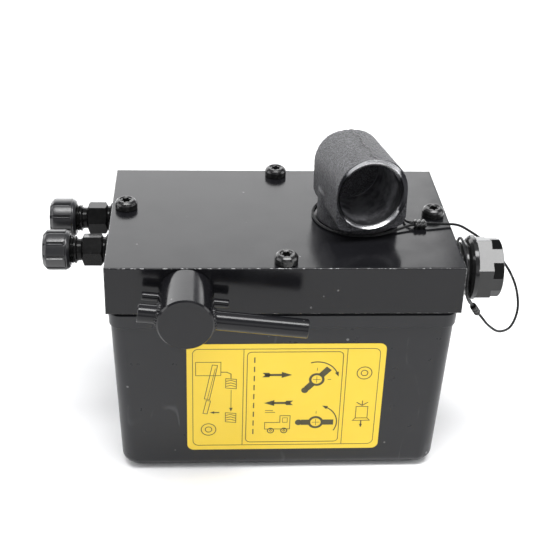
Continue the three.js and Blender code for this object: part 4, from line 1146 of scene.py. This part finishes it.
def make_fitting(side, spin, material):
    node_name = f"port_fitting_{side}"
    place = along("x", (0, middle(node_name).y, PORT_LEVEL))
    face = LEFT_FACE
    start, end = face - 33, face - 19
    profile = [(3.2, face - 34), (6.8, face - 34, 0.2),
               *thread_line(FITTING["thread"], start, end, FITTING["pitch"]),
               (6.6, face - 18.6, 0.3), (6.4, face - 17.6, 0.3), (6.4, face - 16.2, 0.4),
               (7.6, face - 15.2, 0.3), (8.2, face - 14.8), (8.2, face - 4.2), (7.4, face - 3.4, 0.3),
               (7.4, face - 2.4, 0.3), (8.4, face - 1.8, 0.2), (6.4, face - 1.8), (6.4, face + 11),
               (5.6, face + 12), (3.2, face + 12)]
    thread = threaded(FITTING["pitch"], FITTING["depth"], start, end)
    body = lathe(f"{node_name}_body", profile, place, 64, wobble=thread)
    nut = make_nut(f"{node_name}_nut", FITTING["flats"], face - 15.4, face - 3.9, 1.0, spin, place)
    bore = rod("bore", 7.9, face - 20, face, place, 48)
    boolean(nut, "DIFFERENCE", bore)
    whole = joined(f"{node_name}_turned", [body, nut])
    piece(whole, "unit", material, [node_name], sharp_degrees=25)


def make_fitting_seal(side, material):
    node_name = f"fitting_seal_{side}"
    low, high = extent(node_name)
    centre = (low + high) / 2
    profile = [(6.8, low.x), (9.1, low.x, 0.35), (9.1, high.x, 0.35), (6.8, high.x)]
    seal = lathe(f"{node_name}_ring", profile, along("x", (0, centre.y, centre.z)), 64)
    piece(seal, "unit", material, [node_name])


def make_cap(side, spin, material):
    """A closed cap with lengthwise grooves and a narrower inner end, moulded in one."""
    node_name = f"port_cap_{side}"
    low, high = extent(node_name)
    centre = middle(f"port_fitting_{side}")
    outer, inner = low.x, high.x
    radius = 11.8

    def ribbed(angle, reach, height):
        if reach < 9.2 or height > inner - 2.2:
            return reach
        step = 360 / CAP["ribs"]
        off = abs((math.degrees(angle) - spin + step / 2) % step - step / 2)
        inside = max(0.0, 1 - (off / CAP["groove_half_angle"]) ** 2)
        fade = min(1.0, (inner - 2.2 - height) / 0.8)
        return reach - CAP["groove"] * math.sqrt(inside) * fade

    body_line = [(radius, outer + 3.8 + (inner - outer - 7.0) * i / 11) for i in range(12)]
    profile = [(0, outer), (9.2, outer, 0.5), (radius - 0.1, outer + 2.2, 1.0), *body_line,
               (radius, inner - 2.4, 0.3), (radius - 0.5, inner - 2.1, 0.15),
               (radius - 0.45, inner - 1.5, 0.3), (radius - 1.6, inner, 0.5), (8.6, inner, 0.2),
               (8.6, outer + 3), (0, outer + 3)]
    cap = lathe(f"{node_name}_moulding", profile, along("x", (0, centre.y, PORT_LEVEL)), 216, wobble=ribbed)
    piece(cap, node_name, material, [node_name], sharp_degrees=44)


# ---------- filler ----------
FILLER = {"flats": 33.0, "spin": 98.0, "thread": 13.2, "pitch": 2.0, "milled": 16.4,
          "hex_from": 9.1, "open_from": 18.3}


def make_filler_plug(material, milled_material):
    centre = middle("filler_seal")
    place = along("x", (0, centre.y, PORT_LEVEL))
    low, high = extent("filler_plug")
    face, out = RIGHT_FACE, high.x
    start, end = low.x + 1, face - 0.6
    hex_from, open_from = face + FILLER["hex_from"], face + FILLER["open_from"]
    stem_line = [(0, low.x), (12.2, low.x, 0.3),
                 *thread_line(FILLER["thread"], start, end, FILLER["pitch"]),
                 (12.9, face, 0.2), (12.9, face + 0.8, 0.1), (14.6, face + 1.2, 0.3),
                 (14.6, hex_from - 3.8, 0.9), (16.6, hex_from - 3.1, 0.4), (18.4, hex_from - 1.4, 0.6),
                 (18.6, hex_from + 1, 0.3), (0, hex_from + 1)]
    stem = lathe("stem", stem_line, place, 96, wobble=threaded(FILLER["pitch"], 0.9, start, end))
    corner = FILLER["flats"] / 2 / math.cos(math.pi / 6)
    nut = prism("nut", hexagon(FILLER["flats"], FILLER["spin"], 0.25), hex_from, out, place)
    trim_line = [(0, hex_from), (corner - 1.2, hex_from, 0.15), (corner + 0.2, hex_from + 0.6),
                 (corner + 0.2, out - 2.4), (17.4, out - 1.1, 1.0), (16.1, out - 0.1, 0.6),
                 (15.2, out, 0.2), (9.9, out, 0.4), (9.5, open_from, 0.3), (0, open_from)]
    trim = lathe("trim", trim_line, place, 128)
    flats, ways = [], []
    for i in range(6):
        turn = place @ Matrix.Rotation(math.radians(FILLER["spin"] + 60 * i), 4, "Z")
        ways.append(turn.to_3x3() @ Vector((1, 0, 0)))
        near = FILLER["milled"]
        outline = [(near, -7), (near + 6, -7), (near + 6, 7), (near, 7)]
        flats.append(prism("flat", outline, open_from, out + 4, turn))
    boolean(nut, "INTERSECT", trim)
    boolean(nut, "DIFFERENCE", *flats)
    boolean(stem, "UNION", nut)
    stem.name = "filler_plug_turned"
    piece(stem, "filler_plug", material, ["filler_plug"], sharp_degrees=25)
    stem.data.materials.append(milled_material)
    for face in stem.data.polygons:
        if face.center.x / MM > open_from and max(face.normal.dot(way) for way in ways) > 0.99:
            face.material_index = 1


def make_filler_seal(material):
    low, high = extent("filler_seal")
    centre = (low + high) / 2
    profile = [(13.6, low.x, 0.2), (15.5, low.x, 0.35), (15.5, high.x, 0.35), (13.6, high.x, 0.2)]
    seal = lathe("filler_seal_ring", profile, along("x", (0, centre.y, centre.z)), 80)
    piece(seal, "filler_seal", material, ["filler_seal"])


# ---------- valve lever ----------
HUB_RADIUS = 15.4
LEVER = {"radius": 5.3, "left": -25.8, "right": 66.2, "droop": 6.6}
CROSS_PIN = {"radius": 2.5, "left": -24.4, "right": 23.6}


def lever_frame(y):
    """Local Z runs along the drooping lever, local Y along the hub."""
    turn = Matrix.Rotation(math.radians(LEVER["droop"] + 90), 4, "Y")
    return Matrix.Translation((SPOOL.x, y, SPOOL.z)) @ turn


def make_hub(material):
    low, high = extent("spool_hub")
    radius = HUB_RADIUS
    profile = [(0, high.y - 17.6), (6.3, high.y - 17.6, 0.3), (6.3, high.y), (radius - 0.5, high.y, 0.3),
               (radius, high.y - 0.6, 0.3), (radius, low.y + 0.85, 0.12), (radius - 0.85, low.y, 0.12),
               (0, low.y)]
    hub = lathe("hub", profile, along("y", (SPOOL.x, 0, SPOOL.z)), 144)
    lever_y = middle("spool_lever").y
    pin_y = middle("hub_cross_pin").y
    holes = [
        rod("hole", LEVER["radius"] + 0.1, -30, 30, lever_frame(lever_y), 64),
        rod("hole", CROSS_PIN["radius"] + 0.15, -30, 30, lever_frame(pin_y), 40),
    ]
    boolean(hub, "DIFFERENCE", *holes)
    hub.name = "spool_hub_turned"
    piece(hub, "valve_lever", material, ["spool_hub"], sharp_degrees=40)
    thick = LEVER["radius"]
    left, right = LEVER["left"], LEVER["right"]
    lever_line = [(0, left), (thick - 0.35, left, 0.15), (thick, left + 0.45, 0.25),
                  (thick, right - 0.45, 0.25), (thick - 0.35, right, 0.15), (0, right)]
    lever = lathe("spool_lever_rod", lever_line, lever_frame(lever_y), 72)
    piece(lever, "valve_lever", material, ["spool_lever"])
    pin = CROSS_PIN["radius"]
    left, right = CROSS_PIN["left"], CROSS_PIN["right"]
    cross = lathe("hub_cross_pin_rod", [(0, left), (pin, left, 0.75), (pin, right, 0.75), (0, right)],
                  lever_frame(pin_y), 40)
    piece(cross, "valve_lever", material, ["hub_cross_pin"])
    for side in (-1, 1):
        bead = make_weld(side, lever_frame(lever_y))
        piece(bead, "valve_lever", material, sharp_degrees=70, weighted=False)


WELD = {"radius": 1.25, "ripples": 19}


def make_weld(side, place):
    """The rippled bead where the lever meets the hub."""
    thick = LEVER["radius"] + 0.15
    samples = WELD["ripples"] * 8
    rings = []
    for i in range(samples):
        a = 2 * math.pi * i / samples
        rise = math.sqrt(HUB_RADIUS ** 2 - (thick * math.cos(a)) ** 2)
        outwards = Vector((math.cos(a), math.sin(a), 0))
        centre = outwards * thick + Vector((0, 0, side * rise))
        phase = (i / 8 + 0.25 * noise.noise(Vector((i * 0.11, side, 0)))) % 1.0
        lump = 0.66 + 0.46 * math.sin(math.pi * phase) + 0.12 * noise.noise(Vector((i * 0.05, side * 4, 2)))
        reach = WELD["radius"] * lump
        ring = []
        for k in range(12):
            t = 2 * math.pi * k / 12
            ring.append(place @ (centre + outwards * reach * 0.85 * math.cos(t)
                                 + Vector((0, 0, side)) * reach * 1.05 * math.sin(t)))
        rings.append(ring)
    return skin("lever_weld_right" if side > 0 else "lever_weld_left", rings, cyclic=True)


# ---------- lever socket ----------
SOCKET = {
    "turn": 9.5, "tilt": 4.0, "x": 43.6, "z": 27.3,
    "front": 33.0, "back": 20.0, "outer": 20.8, "drop": 21.0, "ground": 0.9,
    "bore": 18.0, "chamfer": 2.0, "bore_depth": 44.0, "bore_shift": (-0.7, -0.9, 0),
    "neck": 24.5, "neck_top": 22.0, "lift": 0.5,
}
CAST_VOXEL = 0.62


def socket_frame():
    """Local -Y runs to the mouth and local Z up."""
    return (Matrix.Translation((SOCKET["x"], SWING.y, TOP + SOCKET["z"]))
            @ Matrix.Rotation(math.radians(SOCKET["turn"]), 4, "Z")
            @ Matrix.Rotation(math.radians(-SOCKET["tilt"]), 4, "X"))


def socket_axis_frame():
    """Local Z runs to the mouth."""
    return socket_frame() @ Matrix.Rotation(math.radians(90), 4, "X")


def tunnel_outline(half, drop):
    """Round over the top, straight down the sides, and rounded below."""
    outline = []
    for i in range(49):
        a = math.pi * i / 48
        power = 2 / 2.3
        x = half * math.copysign(abs(math.cos(a)) ** power, math.cos(a))
        outline.append((x, (half + 0.2) * abs(math.sin(a)) ** power))
    outline += [(-half, -drop + 6), (-half + 1.8, -drop + 1.8), (-half + 6, -drop)]
    outline += [(half - 6, -drop), (half - 1.8, -drop + 1.8), (half, -drop + 6)]
    return outline


def cast_blank():
    """The casting before machining: its shapes melted together."""
    s = SOCKET
    axis = socket_axis_frame()
    body = prism("body", tunnel_outline(s["outer"] - 0.15, s["drop"]), -s["back"], s["front"] + 2, axis)
    reach, foot, head = s["neck"], TOP + s["lift"] - 2, TOP + s["neck_top"]
    neck_line = [(0, foot), (reach - 0.3, foot), (reach - 0.3, head - 4), (reach - 5, head + 1),
                 (0, head + 1)]
    neck = lathe("neck", neck_line, upright(SWING), 96)
    blank = joined("blank", [body, neck])
    remesh = blank.modifiers.new("melt", "REMESH")
    remesh.mode = "VOXEL"
    remesh.voxel_size = CAST_VOXEL * MM
    relax = blank.modifiers.new("relax", "SMOOTH")
    relax.factor, relax.iterations = 0.5, 4
    baked_mesh(blank)
    return blank


def roughen(obj):
    """Sand texture, shallow dents and the mould's parting line, moved into the mesh."""
    into_socket = socket_frame().inverted()
    mesh = obj.data
    mesh.update()
    moves = []
    for vertex in mesh.vertices:
        place = vertex.co / MM
        local = into_socket @ place
        sand = 0.11 * noise.noise(place * 0.85) + 0.07 * noise.noise(place * 1.9 + Vector((5, 1, 9)))
        dents = 0.1 * noise.noise(place * 0.16 + Vector((2, 8, 4)))
        wander = PARTING["swing"] * math.sin(local.y * PARTING["rate"])
        off = abs(local.x - PARTING["x"] - wander)
        seam = 0.0
        if local.z > 0 and local.y > -SOCKET["front"] + 4:
            seam = 0.42 * max(0.0, 1 - off / 1.3) * (0.7 + 0.6 * noise.noise(Vector((9, local.y * 0.5, 2))))
            seam -= 0.22 * max(0.0, 1 - abs(off - 1.9) / 0.9)
        smooth_front = min(1.0, max(0.25, (local.y + SOCKET["front"] - 1.5) / 5))
        moves.append(vertex.normal * (sand * smooth_front + dents + seam) * MM)
    for vertex, move in zip(mesh.vertices, moves):
        vertex.co += move


def make_socket(cast, chamfer_metal, bore_metal):
    s = SOCKET
    blank = cast_blank()
    roughen(blank)
    axis = socket_axis_frame()
    front, bore = s["front"], s["bore"]
    bored = axis @ Matrix.Translation(s["bore_shift"])
    chamfer, ground, end = s["chamfer"], s["ground"], front - s["bore_depth"]
    hole_line = [(0, end), (bore, end, 1.0), (bore, front - chamfer), (bore + chamfer, front),
                 (bore + chamfer, front + 6), (0, front + 6)]
    hole = lathe("bore", hole_line, bored, 160)
    rim = s["outer"] - ground
    face_line = [(0, front), (rim, front), (rim + ground * 1.3, front - ground), (60, front - ground),
                 (60, front + 9), (0, front + 9)]
    face = lathe("face", face_line, axis, 160)
    base = rod("base", 60, TOP - 6, TOP + s["lift"], upright(SWING), 64)
    shaft_hole = rod("shaft_hole", 9.3, TOP - 2, TOP + 7.6, upright(SWING), 40)
    boolean(blank, "DIFFERENCE", hole, face, base, shaft_hole)
    blank.name = "lever_socket_casting"
    piece(blank, "pump_lever", cast, ["lever_socket"], sharp_degrees=48, weighted=False)
    blank.data.materials.append(chamfer_metal)
    blank.data.materials.append(bore_metal)
    inwards = bored.inverted()
    for face in blank.data.polygons:
        local = inwards @ (face.center / MM)
        reach = math.hypot(local.x, local.y)
        if end + 0.3 < local.z < front - chamfer and reach < bore + 0.05:
            face.material_index = 2
        elif local.z > front - chamfer - 0.05 and reach < bore + chamfer + 0.02:
            face.material_index = 1
        elif local.z > front - ground + 0.02:
            face.material_index = 1


# ---------- inner pieces keep their CAD shape ----------
def dress_inner_pieces():
    looks = {
        "plain_steel": turned_metal("ground_steel", (0.55, 0.56, 0.57), (0.4, 0.4, 0.42), 0.2, 0.38),
        "brass": turned_metal("turned_brass", (0.62, 0.45, 0.18), (0.48, 0.33, 0.12), 0.22, 0.4),
        "bronze": turned_metal("sintered_bronze", (0.5, 0.31, 0.15), (0.36, 0.21, 0.1), 0.4, 0.6),
        "strainer_mesh": turned_metal("woven_wire", (0.5, 0.5, 0.5), (0.3, 0.3, 0.3), 0.35, 0.55, 0.4),
        "black_steel": black_oxide("inner_black_oxide"),
        "seal_rubber": rubber("inner_rubber"),
    }
    slots = {part["node"]: part["material_slot"] for part in frame["record"]["subparts"]}
    for name, obj in frame["nodes"].items():
        if slots[name] in looks and not obj.hide_render:
            obj.data.materials.clear()
            obj.data.materials.append(looks[slots[name]])


plastic = tank_plastic()
paint = black_paint("block_paint", 0.3, ((LEFT_FACE, FRONT, BLOCK_LOW.z), (RIGHT_FACE, -FRONT, TOP)))
lever_paint = black_paint("lever_paint", 0.33)
oxide = black_oxide("screw_oxide")
fitting_oxide = black_oxide("fitting_oxide", 0.6, 0.3, 0.14)
plug_oxide = black_oxide("plug_oxide", 1.3, 0.3)
seal_material = rubber()

make_tank(plastic)
make_label_film(label_film())
make_label_print(label_ink())
make_block(paint)
for place, spin in (("left", 12), ("right", 31), ("front", 4), ("back", 22)):
    make_screw(place, spin, oxide)
for side, nut_spin, cap_spin in (("front", 105, 14), ("back", 55, 30)):
    make_fitting(side, nut_spin, fitting_oxide)
    make_fitting_seal(side, seal_material)
    make_cap(side, cap_spin, cap_plastic())
make_filler_plug(plug_oxide, black_oxide("plug_milled", 0.3, 0.1, 0.14))
make_filler_seal(seal_material)
make_hub(lever_paint)
make_socket(cast_skin(), ring_steel(), bore_steel())
dress_inner_pieces()
